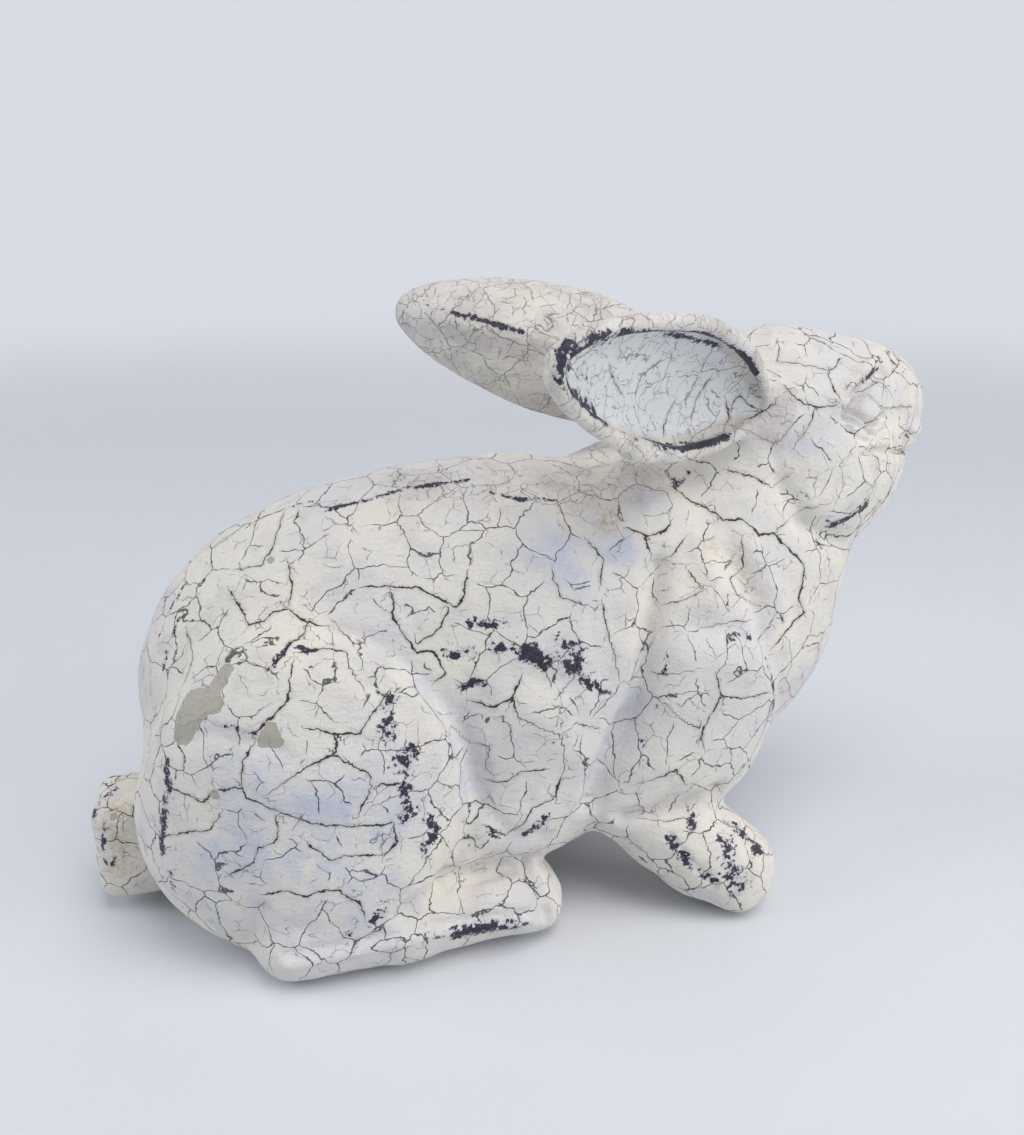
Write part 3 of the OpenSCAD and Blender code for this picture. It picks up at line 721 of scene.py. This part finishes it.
# Rings round the eye: height and extra height above it in mm, then place and width as shares of its size
EYE_RINGS = [(-1.2, 0, 1.03, 0.16), (1.0, 0.3, 1.32, 0.17), (-0.7, 0, 1.68, 0.16)]


def eyes_at(p):
    """Height in mm of the eyeballs with their grooves, lids and folds."""
    q = folded(p, "head") - EYE
    u = q @ EYE_ALONG / np.linalg.norm(EYE_ALONG) / EYE_HALF[0]
    v = q @ EYE_UP / np.linalg.norm(EYE_UP) / EYE_HALF[1]
    # The eye is pointed at its corners
    k = np.sqrt(u ** 2 + (v * (1 + EYE_POINT * u ** 2)) ** 2)
    height = EYE_BALL * np.sqrt(np.clip(1 - k ** 2, 0, 1))
    for ring, extra, place, width in EYE_RINGS:
        height = height + (ring + extra * (v > 0)) * np.exp(-(((k - place) / width) ** 2))
    return EYE_BOLDNESS * height * (np.linalg.norm(q, axis=1) < EYE_REACH)


def to_line(q, line, reach, normals=None):
    """Distance from points to a line of noted points, and on which side of it they lie."""
    best = np.full(len(q), reach * 1.0)
    side = np.full(len(q), reach * 1.0)
    near = np.nonzero(((q > line.min(axis=0) - reach) & (q < line.max(axis=0) + reach)).all(axis=1))[0]
    for a, b in zip(line, line[1:]):
        ab = b - a
        r = q[near] - a
        t = np.clip(r @ ab / max(ab @ ab, 1e-9), 0, 1)
        away = r - t[:, None] * ab
        d = np.linalg.norm(away, axis=1)
        closer = d < best[near]
        hit = near[closer]
        best[hit] = d[closer]
        if normals is not None:
            across = np.cross(normals[hit], ab / max(np.linalg.norm(ab), 1e-9))
            side[hit] = d[closer] * np.sign((away[closer] * across).sum(axis=1))
    return best, side


PARTS = ("trunk", "head", "ear")
SEAM_W = 6
CRACK_REACH = 5.0
NO_CRACK = 9.0


def on_right(p, part):
    """1 on the rabbit's right side and 0 on its left, for a part of the sculpture."""
    across = p[:, 1] if part == "trunk" else head_frame(p)[:, 1]
    return np.clip(0.5 - across / SEAM_W, 0, 1)


def strokes_at(p, table, left=1.0):
    """Sum of soft strokes, in mm or as strength, with a share of them on the rabbit's left."""
    frames = {part: folded(p, part) for part in PARTS}
    shares = {part: left + (1 - left) * on_right(p, part) for part in PARTS}
    total = np.zeros(len(p))
    for part, strength, width, line in table:
        d, _ = to_line(frames[part], line, 3 * width)
        total += strength * np.exp(-((d / width) ** 2)) * (d < 3 * width) * shares[part]
    return total


def mirrored(directions, across):
    """Directions with their sideways part turned over where across is on the left."""
    return directions * np.where(across[:, None] > 0, [[1, -1, 1]], [[1, 1, 1]])


def cracks_at(p, normals):
    """Distance to the nearest bold crack with its side as the sign, the distance alone, and half width."""
    best = np.full(len(p), NO_CRACK)
    signed = np.full(len(p), NO_CRACK)
    wide = np.zeros(len(p))
    frames = {part: folded(p, part) for part in PARTS}
    on_head = mirrored(normals @ HEAD_AXES, head_frame(p)[:, 1])
    turned = {"trunk": mirrored(normals, p[:, 1]), "head": on_head, "ear": on_head}
    for part, width, line in bold_cracks:
        d, side = to_line(frames[part], line, CRACK_REACH, turned[part])
        closer = d < best
        best = np.where(closer, d, best)
        signed = np.where(closer, side, signed)
        wide = np.where(closer & (d < CRACK_REACH), width, wide)
    return signed, best, wide


WAVES = 9


def unevenness(p, scale, seed):
    """Smooth waves of about this scale in mm, mostly between -1 and 1, from a few crossed sines."""
    draw = np.random.default_rng(seed)
    total = np.zeros(len(p))
    for _ in range(WAVES):
        direction = draw.normal(size=3)
        direction /= np.linalg.norm(direction)
        turns = 2 * math.pi / scale
        total += np.sin(p @ direction * turns * draw.uniform(0.6, 1.5) + draw.uniform(0, 6.3))
    return total / (WAVES / 2)


# Meshing

BLOCK_REACH = 1.6


def surface_net(lo, hi, step, block=4):
    """Points and quads of the surface where field_of is zero, on a grid of this step.

    Only blocks of the grid whose middle is near the surface are worked out point by point.
    """
    lo = np.array(lo)
    counts = np.ceil((np.array(hi) - lo) / step / block).astype(int)
    size = counts * block + 1
    mids = np.stack(np.meshgrid(*[np.arange(c) for c in counts], indexing="ij"), axis=-1).reshape(-1, 3)
    coarse = field_of(lo + (mids + 0.5) * block * step)
    near = np.abs(coarse) * MM < BLOCK_REACH * block * step
    grid = np.repeat(np.repeat(np.repeat(coarse.reshape(counts), block, 0), block, 1), block, 2)
    grid = np.pad(grid, ((0, 1), (0, 1), (0, 1)), mode="edge")
    wanted = np.zeros(size, bool)
    for i, j, k in mids[near] * block:
        wanted[i:i + block + 1, j:j + block + 1, k:k + block + 1] = True
    where = np.stack(np.nonzero(wanted), axis=1)
    grid[wanted] = field_of(lo + where * step)
    inside = grid < 0
    corners = [(i, j, k) for i in (0, 1) for j in (0, 1) for k in (0, 1)]

    def corner(a, c):
        return a[c[0]:size[0] - 1 + c[0], c[1]:size[1] - 1 + c[1], c[2]:size[2] - 1 + c[2]]

    total = sum(corner(inside, c).astype(np.int8) for c in corners)
    active = (total > 0) & (total < 8)
    number = np.full(active.shape, -1)
    number[active] = np.arange(active.sum())
    cells = np.stack(np.nonzero(active), axis=1)
    summed = np.zeros((len(cells), 3))
    hits = np.zeros(len(cells))
    for c in corners:
        for axis in range(3):
            if c[axis]:
                continue
            e = list(c)
            e[axis] = 1
            va = corner(grid, c)[active]
            vb = corner(grid, tuple(e))[active]
            cross = (va < 0) != (vb < 0)
            t = np.where(cross, va / np.where(cross, va - vb, 1), 0)
            point = np.tile(np.array(c, float), (len(cells), 1))
            point[:, axis] = t
            summed += point * cross[:, None]
            hits += cross
    points = lo + (cells + summed / hits[:, None]) * step
    quads = []
    for axis in range(3):
        u, v = (axis + 1) % 3, (axis + 2) % 3
        n = np.moveaxis(number, (axis, u, v), (0, 1, 2))
        a = np.moveaxis(inside, (axis, u, v), (0, 1, 2))
        first, second = a[:-1, 1:-1, 1:-1], a[1:, 1:-1, 1:-1]
        for flip in (False, True):
            i, j, k = np.nonzero((first != second) & (first == flip))
            ring = [n[i, j, k], n[i, j + 1, k], n[i, j + 1, k + 1], n[i, j, k + 1]]
            quads.append(np.stack(ring[::-1] if flip else ring, axis=1))
    quads = np.concatenate(quads)
    return points, quads[(quads >= 0).all(axis=1)]


# Mesh helpers

def edges_of(mesh):
    e = np.empty(len(mesh.edges) * 2, dtype=np.int64)
    mesh.edges.foreach_get("vertices", e)
    return e.reshape(-1, 2)


def smoothed(co, edges, rounds):
    """Points drawn halfway to the middle of their neighbours, in each of some rounds."""
    count = len(co)
    degree = np.bincount(edges.ravel(), minlength=count).clip(1)
    for _ in range(rounds):
        mean = np.empty_like(co)
        for axis in range(3):
            mean[:, axis] = (
                np.bincount(edges[:, 0], co[edges[:, 1], axis], count)
                + np.bincount(edges[:, 1], co[edges[:, 0], axis], count)
            ) / degree
        co = co + 0.5 * (mean - co)
    return co


def mesh_from(name, points, faces):
    mesh = bpy.data.meshes.new(name)
    mesh.vertices.add(len(points))
    mesh.vertices.foreach_set("co", points.ravel())
    mesh.loops.add(faces.size)
    mesh.loops.foreach_set("vertex_index", faces.ravel())
    mesh.polygons.add(len(faces))
    mesh.polygons.foreach_set("loop_start", np.arange(0, faces.size, 4))
    mesh.update(calc_edges=True)
    return mesh


STEP = 0.00096
MARGIN = 0.006
WIDTH_REACH = 0.002
net_lo = np.array(cad_box[0]) - MARGIN
net_hi = np.array(cad_box[1]) + MARGIN
co, quads = surface_net(net_lo, net_hi, STEP)
clay = mesh_from("clay", co, quads)
edges = edges_of(clay)
co = smoothed(co, edges, 2)
off = field_of(co)
slopes = gradient_at(co, off) * MM
steep = np.maximum((slopes ** 2).sum(axis=1), 0.25)
co = co - off[:, None] * MM * slopes / steep[:, None]
co = smoothed(co, edges, 1)

# Carved creases and lumps, and a slight unevenness of the casting: height and scale in mm, and seed
CREASE_BOLDNESS = 1.35
UNEVEN = [(0.30, 26, 1), (0.16, 11, 2)]
FLAT_NEAR_SOLE = 4
normals = slopes / np.maximum(np.linalg.norm(slopes, axis=1), 1e-9)[:, None]
place = co / MM + MIDDLE
relief = CREASE_BOLDNESS * strokes_at(place, creases) + eyes_at(place)
relief += sum(height * unevenness(place, scale, seed) for height, scale, seed in UNEVEN)
flat = np.clip(place[:, 2] / FLAT_NEAR_SOLE, 0, 1)
co = co + (relief * flat * MM)[:, None] * normals
co = smoothed(co, edges, 1)
co[:, 2] = np.maximum(co[:, 2], 0)
# Carving adds to the width of the solids, so what lies past them is eased back
across = np.abs(co[:, 1])
past = across - cad_box[1][1]
eased = cad_box[1][1] + WIDTH_REACH * np.tanh(past / WIDTH_REACH)
co[:, 1] = np.sign(co[:, 1]) * np.where(past > 0, eased, across)
place = co / MM + MIDDLE

# Where the paint is worn, chipped, stained or finely crackled. The left side has a pattern of its own, with
# these shares of the right side's strokes.
LEFT_SMEARS = 0.8
LEFT_STAINS = 0.3
LIP_W = 0.95
LIP_WEAR = 2.3
TIP_WEAR = 0.9
TIP_BAND = (3, 5)
WAVES_PER_MM = 0.21
# How far from an ear its paint reaches, across and through it, and where its front and its cup are, in mm
NEAR_ACROSS = 2
NEAR_THROUGH = 3
FRONT_FROM = -4
CUP_TOP = 1.0
CUP_FADE = 2


def bump(x, middle, width):
    return np.exp(-(((x - middle) / width) ** 2))


def ear_looks(place, normals):
    """What lies on an ear, what lies in its cup, and the wear along its lip and round its tip."""
    x, y, z = ear_frame(head_frame(place)).T
    u = ear_share(x)
    w, d = ear_half(x)
    on_ear = (u > 0) & (u < 1.05) & (np.abs(z) < w + NEAR_ACROSS) & (np.abs(y) < d + NEAR_THROUGH)
    edge = np.full(len(place), FAR)
    edge[on_ear] = to_edge(x[on_ear], z[on_ear])
    # Distance inwards from the lip
    lip = np.where(np.abs(z) < w - EAR_RIM * 0.8, edge, -edge) - EAR_RIM
    out_of_cup = (mirrored(normals @ HEAD_AXES, head_frame(place)[:, 1]) @ EAR_AXES)[:, 1]
    # Where the cup's hollow faces out, which takes a painted light and painted blue shade
    cup = np.clip(lip / CUP_FADE, 0, 1) * np.clip(out_of_cup / 0.3, 0, 1) * on_ear * (y < CUP_TOP)
    front = on_ear & (y > FRONT_FROM)
    upper = (z > 0) * (0.85 + 0.35 * np.sin(x * WAVES_PER_MM) + 0.2 * (u < 0.35))
    lower = (z < 0) * (1.1 * bump(u, 0.30, 0.20) + 1.3 * bump(u, 0.84, 0.11))
    wear = LIP_WEAR * bump(lip, 0, LIP_W) * front * np.clip(12 * (u - 0.10), 0, 1) * (upper + lower)
    return on_ear, cup, wear + TIP_WEAR * (bump(u, 0.93, 0.08) * bump(lip, *TIP_BAND) * front)


on_ear, cup, ear_wear = ear_looks(place, normals)
signed, near, wide = cracks_at(place, normals)
LOOKS = {
    "smear": strokes_at(place, smears, LEFT_SMEARS) + ear_wear,
    "chip": strokes_at(place, chips, 0),
    "stain": strokes_at(place, stains, LEFT_STAINS),
    # The blue look is painted blue-grey shade, from these strokes and in the ear's cup
    "blue": strokes_at(place, painted_blue_shades) + 0.35 * cup,
    # The cup look carries a painted light that lifts the hollow's shade
    "cup": cup,
    "fine": np.clip(strokes_at(place, fines) + 0.85 * on_ear - 0.15 * cup, 0, 1),
    "crack_side": signed,
    "crack_near": np.where(on_right(place, "trunk") > 0.5, near, NO_CRACK),
    "crack_wide": wide,
}

# Camera
place_m, right, up, forward = camera_frame()
SENSOR_MM = 36
camera_data = bpy.data.cameras.new("camera")
camera_data.sensor_width = SENSOR_MM
camera_data.lens = SENSOR_MM * FOCAL_PX / IMAGE_H
camera = bpy.data.objects.new("camera", camera_data)
camera.location = place_m
camera.rotation_mode = "QUATERNION"
camera.rotation_quaternion = Matrix(np.stack([right, up, -forward], axis=1).tolist()).to_quaternion()
bpy.context.scene.collection.objects.link(camera)
bpy.context.scene.camera = camera

# Split the clay among the nodes that it stands for
CLAY_NODES = ["body_right", "body_left", "head", "ear_right", "ear_left", "tail"]
NODE_REACH = 0.015


def tree_of(name):
    bm = bmesh.new()
    bm.from_mesh(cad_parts[name].data)
    tree = BVHTree.FromBMesh(bm)
    bm.free()
    return tree


centres = co[quads].mean(axis=1)
closest = np.full(len(centres), np.inf)
owner = np.zeros(len(centres), int)
for i, name in enumerate(CLAY_NODES):
    tree = tree_of(name)
    low, high = (np.array(corner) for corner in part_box(name))
    for j in np.nonzero(((centres > low - NODE_REACH) & (centres < high + NODE_REACH)).all(axis=1))[0]:
        away = tree.find_nearest(centres[j])[3]
        if away < closest[j]:
            closest[j] = away
            owner[j] = i

skins = []
for i, name in enumerate(CLAY_NODES):
    own = quads[owner == i]
    used, own = np.unique(own, return_inverse=True)
    mesh = mesh_from(name + "_skin", co[used], own.reshape(-1, 4))
    for look, values in LOOKS.items():
        attribute = mesh.attributes.new(look, "FLOAT", "POINT")
        attribute.data.foreach_set("value", values[used].astype(np.float32))
    mesh.polygons.foreach_set("use_smooth", np.ones(len(mesh.polygons), bool))
    skin = bpy.data.objects.new(name + "_skin", mesh)
    bpy.context.scene.collection.objects.link(skin)
    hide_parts(name)
    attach(skin, "root")
    skins.append(skin)


# Materials

class Nodes:
    """Short calls for building a material's nodes."""

    def __init__(self, name):
        self.material = bpy.data.materials.new(name)
        self.material.use_nodes = True
        self.tree = self.material.node_tree
        self.bsdf = self.tree.nodes["Principled BSDF"]

    def make(self, kind, settings=None, **inputs):
        """A new node with these settings, and with its inputs by name or, as in i0, by number."""
        node = self.tree.nodes.new(kind)
        for key, value in (settings or {}).items():
            setattr(node, key, value)
        for key, value in inputs.items():
            self.put(node.inputs[int(key[1:]) if key[1:].isdigit() else key], value)
        return node

    def put(self, socket, value):
        if isinstance(value, bpy.types.NodeSocket):
            self.tree.links.new(value, socket)
        else:
            socket.default_value = value

    def math(self, operation, a, b=0.0, clamp=False):
        settings = {"operation": operation, "use_clamp": clamp}
        return self.make("ShaderNodeMath", settings, i0=a, i1=b).outputs[0]

    def plus(self, a, b):
        return self.math("ADD", a, b)

    def minus(self, a, b):
        return self.math("SUBTRACT", a, b)

    def times(self, a, b):
        return self.math("MULTIPLY", a, b)

    def most(self, a, b):
        return self.math("MAXIMUM", a, b)

    def swing(self, noise, amount):
        """A noise about its middle, made this many times larger."""
        return self.times(self.minus(noise, 0.5), amount)

    def vector(self, operation, **inputs):
        return self.make("ShaderNodeVectorMath", {"operation": operation}, **inputs).outputs[0]

    def look(self, name):
        return self.make("ShaderNodeAttribute", {"attribute_name": name}).outputs["Fac"]

    def noise(self, coords, scale, detail=3.0, rough=0.55, output="Fac"):
        """Noise with this many bumps to a millimetre."""
        inputs = {"Vector": coords, "Scale": scale, "Detail": detail, "Roughness": rough}
        return self.make("ShaderNodeTexNoise", None, **inputs).outputs[output]

    def step(self, value, low, high):
        """0 at low and 1 at high, with high below low where it falls."""
        lo, hi, out_lo, out_hi = (low, high, 0.0, 1.0) if low < high else (high, low, 1.0, 0.0)
        limits = {"From Min": lo, "From Max": hi, "To Min": out_lo, "To Max": out_hi}
        node = self.make("ShaderNodeMapRange", {"interpolation_type": "SMOOTHSTEP"}, Value=value, **limits)
        return node.outputs["Result"]

    def mix(self, share, a, b):
        """A colour between a and b."""
        return self.make("ShaderNodeMix", {"data_type": "RGBA"}, i0=share, i6=a, i7=b).outputs[2]

    def blend(self, share, a, b):
        """A number between a and b."""
        return self.make("ShaderNodeMix", {"data_type": "FLOAT"}, i0=share, i2=a, i3=b).outputs[0]

    def in_mm(self):
        return self.vector("SCALE", i0=self.make("ShaderNodeTexCoord").outputs["Object"], Scale=1 / MM)

    def shifted(self, coords, scale, amount, detail=2.0):
        """Coordinates pushed about by a noise of this scale and amount."""
        colour = self.noise(coords, scale, detail, 0.5, "Color")
        centred = self.vector("SUBTRACT", i0=colour, i1=(0.5, 0.5, 0.5))
        return self.vector("ADD", i0=coords, i1=self.vector("SCALE", i0=centred, Scale=amount))

    def finish(self, colour, rough, height=None):
        """The material, with a bump from a height in mm."""
        self.put(self.bsdf.inputs["Base Color"], colour)
        self.put(self.bsdf.inputs["Roughness"], rough)
        if height is not None:
            bump = self.make("ShaderNodeBump", None, Height=height, Distance=MM, Strength=1.0)
            self.put(self.bsdf.inputs["Normal"], bump.outputs[0])
        return self.material


def shade(red, green, blue):
    """A colour given as it shows on a screen, from 0 to 255."""
    share = [v / 255 for v in (red, green, blue)]
    return tuple(v / 12.92 if v <= 0.04045 else ((v + 0.055) / 1.055) ** 2.4 for v in share) + (1.0,)


# Topcoat
LAVENDER = shade(224, 221, 220)
CREAM = shade(234, 229, 219)
DUSTY = shade(207, 203, 205)
SPECKS = shade(204, 199, 193)
# Painted blue-grey shade
PAINTED_BLUE_SHADE = shade(197, 205, 222)
# Painted light that lifts the shaded hollow of the ear's cup
CUP_PAINTED_LIGHT = shade(240, 243, 244)
WARM_TINT = shade(203, 197, 191)
TAN = shade(199, 184, 156)
HAZE = shade(170, 170, 196)
BESIDE_CRACK = shade(168, 160, 150)
FLAKE_EDGE = shade(240, 238, 232)
# Undercoat and bare casting
IN_CRACK = shade(32, 27, 33)
UNDERCOAT = (shade(24, 22, 38), shade(50, 48, 72))
CASTING = (shade(172, 167, 154), shade(190, 185, 172))

# Crackle: size of the cells and half width of the cracks in mm, how much of it fades out, and seed
LARGE_CRACKLE = (16.0, 0.14, 0.28, 0.0)
MIDDLE_CRACKLE = (8.0, 0.07, 0.48, 31.0)
SMALL_CRACKLE = (5.0, 0.06, 0.42, 77.0)
CRACKLE_EDGE = (0.07, -0.05)
# Round the noted cracks, in mm: how far they wander, their soft edge, where they end, where other cracks
# start again, and where the paint is darker
WANDER = 3.2
BOLD_EDGE = (0.08, -0.08)
BOLD_END = (3.2, 2.6)
OTHERS_START = (3.0, 4.5)
DARKER = (1.6, 0.2)
# Heights in the paint, in mm
CRACK_HEIGHT = -0.28
SMEAR_HEIGHT = -0.12
FLAKE_HEIGHT = -0.35
BRUSH_HEIGHT = 0.55
GRAIN_HEIGHT = 0.16
PATCH_HEIGHT = 0.9


def crackle_paint():
    n = Nodes("crackle_paint")
    mm = n.in_mm()
    bent = n.shifted(n.shifted(mm, 0.09, 7.0), 0.50, 1.7, 3.0)
    jagged = n.shifted(mm, 0.55, 2.2, 3.0)

    def crackle(cell, half_width, breakup, seed):
        moved = n.vector("ADD", i0=bent, i1=(seed, seed * 2, seed * 3))
        settings = {"feature": "DISTANCE_TO_EDGE"}
        cells = n.make("ShaderNodeTexVoronoi", settings, Vector=moved, Scale=1 / cell)
        distance = n.times(cells.outputs["Distance"], cell)
        patchy = n.step(n.noise(moved, 1.3 / cell, 2.0), breakup, breakup + 0.16)
        line = n.step(n.minus(distance, n.times(patchy, half_width)), *CRACKLE_EDGE)
        return n.times(line, n.step(patchy, 0.0, 0.35))

    fine_area = n.look("fine")
    large = crackle(*LARGE_CRACKLE)
    middle = crackle(*MIDDLE_CRACKLE)
    small = n.times(crackle(*SMALL_CRACKLE), n.step(fine_area, 0.15, 0.75))
    # Bold cracks wander a little off the lines on which they were noted, and others keep away from them
    off_line = n.math("ABSOLUTE", n.plus(n.look("crack_side"), n.swing(n.noise(mm, 0.33, 4.0, 0.62), WANDER)))
    on_line = n.step(n.look("crack_near"), *BOLD_END)
    spread = n.times(n.look("crack_wide"), n.blend(n.step(n.noise(mm, 0.25, 1.0), 0.35, 0.6), 0.45, 1.0))
    bold = n.times(n.step(n.minus(off_line, n.times(spread, 0.8)), *BOLD_EDGE), on_line)
    apart = n.step(n.look("crack_near"), *OTHERS_START)
    large = n.times(n.times(large, apart), n.blend(fine_area, 1.0, 0.55))
    hair = n.times(n.most(middle, small), 0.65)
    cracks = n.most(n.most(bold, n.times(large, 0.9)), hair)

    # Dry smears of the undercoat
    smeared = n.look("smear")
    grit = n.noise(mm, 0.55, 5.0, 0.66)
    worn = n.plus(n.times(smeared, 0.85), n.swing(grit, 4.2))
    worn = n.plus(worn, n.swing(n.noise(mm, 0.14, 2.0, 0.5), 2.4))
    smear = n.times(n.step(worn, 0.66, 0.76), n.step(smeared, 0.08, 0.30))
    haze = n.times(n.step(worn, -0.1, 0.9), n.times(n.step(smeared, 0.02, 0.8), 0.5))
    # Flakes, with a ragged edge
    flaked = n.look("chip")
    ragged = n.plus(flaked, n.swing(n.noise(mm, 0.35, 5.0, 0.65), 0.9))
    chip = n.times(n.step(ragged, 0.50, 0.54), n.step(flaked, 0.1, 0.2))
    edge = n.times(n.step(ragged, 0.40, 0.50), n.step(flaked, 0.1, 0.2))

    # Cream and lavender patches, specks and tints, with painted blue-grey shade and a painted light in the
    # ear's cup
    dust = n.noise(mm, 0.08, 4.0, 0.6)
    speck = n.noise(mm, 0.9, 4.0, 0.7)
    # Where blue-grey shade is painted
    blue = n.look("blue")
    # The ear's cup, which takes a painted light
    cup = n.look("cup")
    warm = n.times(fine_area, n.math("SUBTRACT", 1.0, n.most(blue, cup), True))
    top = n.mix(n.step(n.noise(mm, 0.018, 3.0, 0.6), 0.38, 0.60), LAVENDER, CREAM)
    top = n.mix(n.times(n.step(dust, 0.48, 0.70), 0.5), top, DUSTY)
    top = n.mix(n.times(n.step(speck, 0.52, 0.78), 0.35), top, SPECKS)
    # Painted blue-grey shade
    top = n.mix(n.times(blue, n.step(dust, 0.30, 0.62)), top, PAINTED_BLUE_SHADE)
    top = n.mix(n.times(warm, n.step(dust, 0.25, 0.75)), top, WARM_TINT)
    # Painted light in the shaded cup of the ear
    top = n.mix(n.times(cup, 0.75), top, CUP_PAINTED_LIGHT)
    top = n.mix(n.times(n.look("stain"), n.step(grit, 0.36, 0.60)), top, TAN)
    top = n.mix(haze, top, HAZE)
    near_bold = n.times(n.step(off_line, *DARKER), on_line)
    top = n.mix(n.times(near_bold, 0.30), top, BESIDE_CRACK)
    colour = n.mix(n.times(cracks, 0.96), top, IN_CRACK)
    colour = n.mix(smear, colour, n.mix(n.step(speck, 0.40, 0.62), *UNDERCOAT))
    colour = n.mix(n.minus(edge, chip), colour, FLAKE_EDGE)
    colour = n.mix(chip, colour, n.mix(n.noise(mm, 0.4, 4.0), *CASTING))

    # Brush marks and grain
    streaks = n.make("ShaderNodeMapping", None, Vector=jagged, Scale=(0.25, 0.9, 1.0)).outputs[0]
    height = n.times(cracks, CRACK_HEIGHT)
    for form, most in (
        (smear, SMEAR_HEIGHT),
        (chip, FLAKE_HEIGHT),
        (n.noise(streaks, 0.8, 4.0, 0.6), BRUSH_HEIGHT),
        (n.noise(mm, 1.6, 3.0, 0.6), GRAIN_HEIGHT),
        (dust, PATCH_HEIGHT),
    ):
        height = n.plus(height, n.times(form, most))
    rough = n.blend(chip, n.blend(smear, n.blend(speck, 0.52, 0.78), 0.42), 0.38)
    return n.finish(colour, rough, height)


def dowel_wood():
    n = Nodes("turned_dowel")
    along = n.make("ShaderNodeMapping", None, Vector=n.in_mm(), Scale=(1.0, 0.08, 1.0)).outputs[0]
    grain = n.noise(along, 1.1, 5.0, 0.6)
    pores = n.noise(along, 4.0, 3.0, 0.7)
    colour = n.mix(n.step(grain, 0.35, 0.68), shade(206, 170, 122), shade(168, 126, 80))
    colour = n.mix(n.times(n.step(pores, 0.58, 0.72), 0.5), colour, shade(118, 84, 52))
    height = n.plus(n.times(grain, 0.08), n.times(pores, 0.06))
    return n.finish(colour, n.blend(grain, 0.5, 0.72), height)


def plug_rubber():
    n = Nodes("moulded_rubber")
    mm = n.in_mm()
    skin = n.noise(mm, 2.4, 4.0, 0.65)
    bloom = n.noise(mm, 0.15, 3.0, 0.6)
    colour = n.mix(n.step(bloom, 0.42, 0.70), shade(42, 42, 44), shade(74, 73, 72))
    return n.finish(colour, n.blend(skin, 0.55, 0.8), n.times(skin, 0.06))


paint = crackle_paint()
for skin in skins:
    skin.data.materials.clear()
    skin.data.materials.append(paint)
for name, material in (("body_dowels", dowel_wood()), ("vent_plug", plug_rubber())):
    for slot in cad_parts[name].material_slots:
        slot.material = material

# A round floor that rises at its edge into a backdrop all round
FLOOR_R = 1.6
BEND_R = 1.2
WALL_H = 3.2
FLOOR_SPOKES = 96
BEND_STEPS = 16


def floor_profile():
    points = [(FLOOR_R * (i + 1) / 4, 0.0) for i in range(4)]
    for i in range(1, BEND_STEPS + 1):
        a = math.pi / 2 * i / BEND_STEPS
        points.append((FLOOR_R + BEND_R * math.sin(a), BEND_R * (1 - math.cos(a))))
    points.append((FLOOR_R + BEND_R, WALL_H))
    return points


bm = bmesh.new()
centre = bm.verts.new((0, 0, 0))
rings = []
for radius, height in floor_profile():
    ring = []
    for k in range(FLOOR_SPOKES):
        a = 2 * math.pi * k / FLOOR_SPOKES
        ring.append(bm.verts.new((radius * math.cos(a), radius * math.sin(a), height)))
    rings.append(ring)
for k in range(FLOOR_SPOKES):
    on = (k + 1) % FLOOR_SPOKES
    bm.faces.new((centre, rings[0][k], rings[0][on]))
    for inner, outer in zip(rings, rings[1:]):
        bm.faces.new((inner[k], outer[k], outer[on], inner[on]))
for face in bm.faces:
    face.smooth = True
floor_mesh = bpy.data.meshes.new("floor")
bm.to_mesh(floor_mesh)
bm.free()
floor = bpy.data.objects.new("floor", floor_mesh)
bpy.context.scene.collection.objects.link(floor)


# To the camera the floor turns from its own shade to an even one between these distances, in mm
EVEN_FROM = 350.0
EVEN_TO = 1800.0


def pale_paper():
    """Pale paper. To the camera it turns even away from the rabbit."""
    n = Nodes("paper")
    mm = n.in_mm()
    n.finish(n.mix(n.noise(mm, 0.004, 2.0), shade(222, 226, 232), shade(228, 231, 236)), 0.85)
    away = n.make("ShaderNodeVectorMath", {"operation": "LENGTH"}, i0=mm).outputs["Value"]
    rays = n.make("ShaderNodeLightPath").outputs
    seen = n.most(rays["Is Camera Ray"], rays["Is Glossy Ray"])
    far = n.times(seen, n.step(away, EVEN_FROM, EVEN_TO))
    pale = n.make("ShaderNodeEmission", None, Color=shade(216, 220, 228)).outputs[0]
    mixed = n.make("ShaderNodeMixShader", None, i0=far, i1=n.bsdf.outputs[0], i2=pale).outputs[0]
    n.put(n.tree.nodes["Material Output"].inputs["Surface"], mixed)
    return n.material


floor_mesh.materials.append(pale_paper())

# Soft studio light. Every lamp looks at the rabbit: name, place in m, size in m, power in W and colour
AIM = (0, 0, 0.1)
KEY_SIZE = 0.9
FILL_SIZE = 1.4
LAMPS = [
    ("key", (0.20, -0.50, 1.40), KEY_SIZE, 9.6, (1.0, 0.98, 0.955)),
    ("right", (1.20, -0.75, 0.60), KEY_SIZE, 8.8, (1.0, 0.985, 0.965)),
    ("left", (-1.20, 0.05, 0.80), KEY_SIZE, 6.2, (0.96, 0.98, 1.0)),
    ("back", (0.3, 1.3, 1.1), FILL_SIZE, 4, (0.95, 0.97, 1.0)),
]
for name, at, size, power, colour in LAMPS:
    data = bpy.data.lights.new(name, "AREA")
    data.size = size
    data.energy = power
    data.color = colour
    lamp = bpy.data.objects.new(name, data)
    lamp.location = at
    lamp.rotation_mode = "QUATERNION"
    lamp.rotation_quaternion = (Vector(AIM) - Vector(at)).to_track_quat("-Z", "Y")
    bpy.context.scene.collection.objects.link(lamp)
world = bpy.data.worlds.new("world")
bpy.context.scene.world = world
world.use_nodes = True
sky = world.node_tree.nodes["Background"]
sky.inputs["Color"].default_value = (0.86, 0.90, 1.0, 1)
sky.inputs["Strength"].default_value = 0.24

bpy.context.scene.view_settings.view_transform = "Standard"
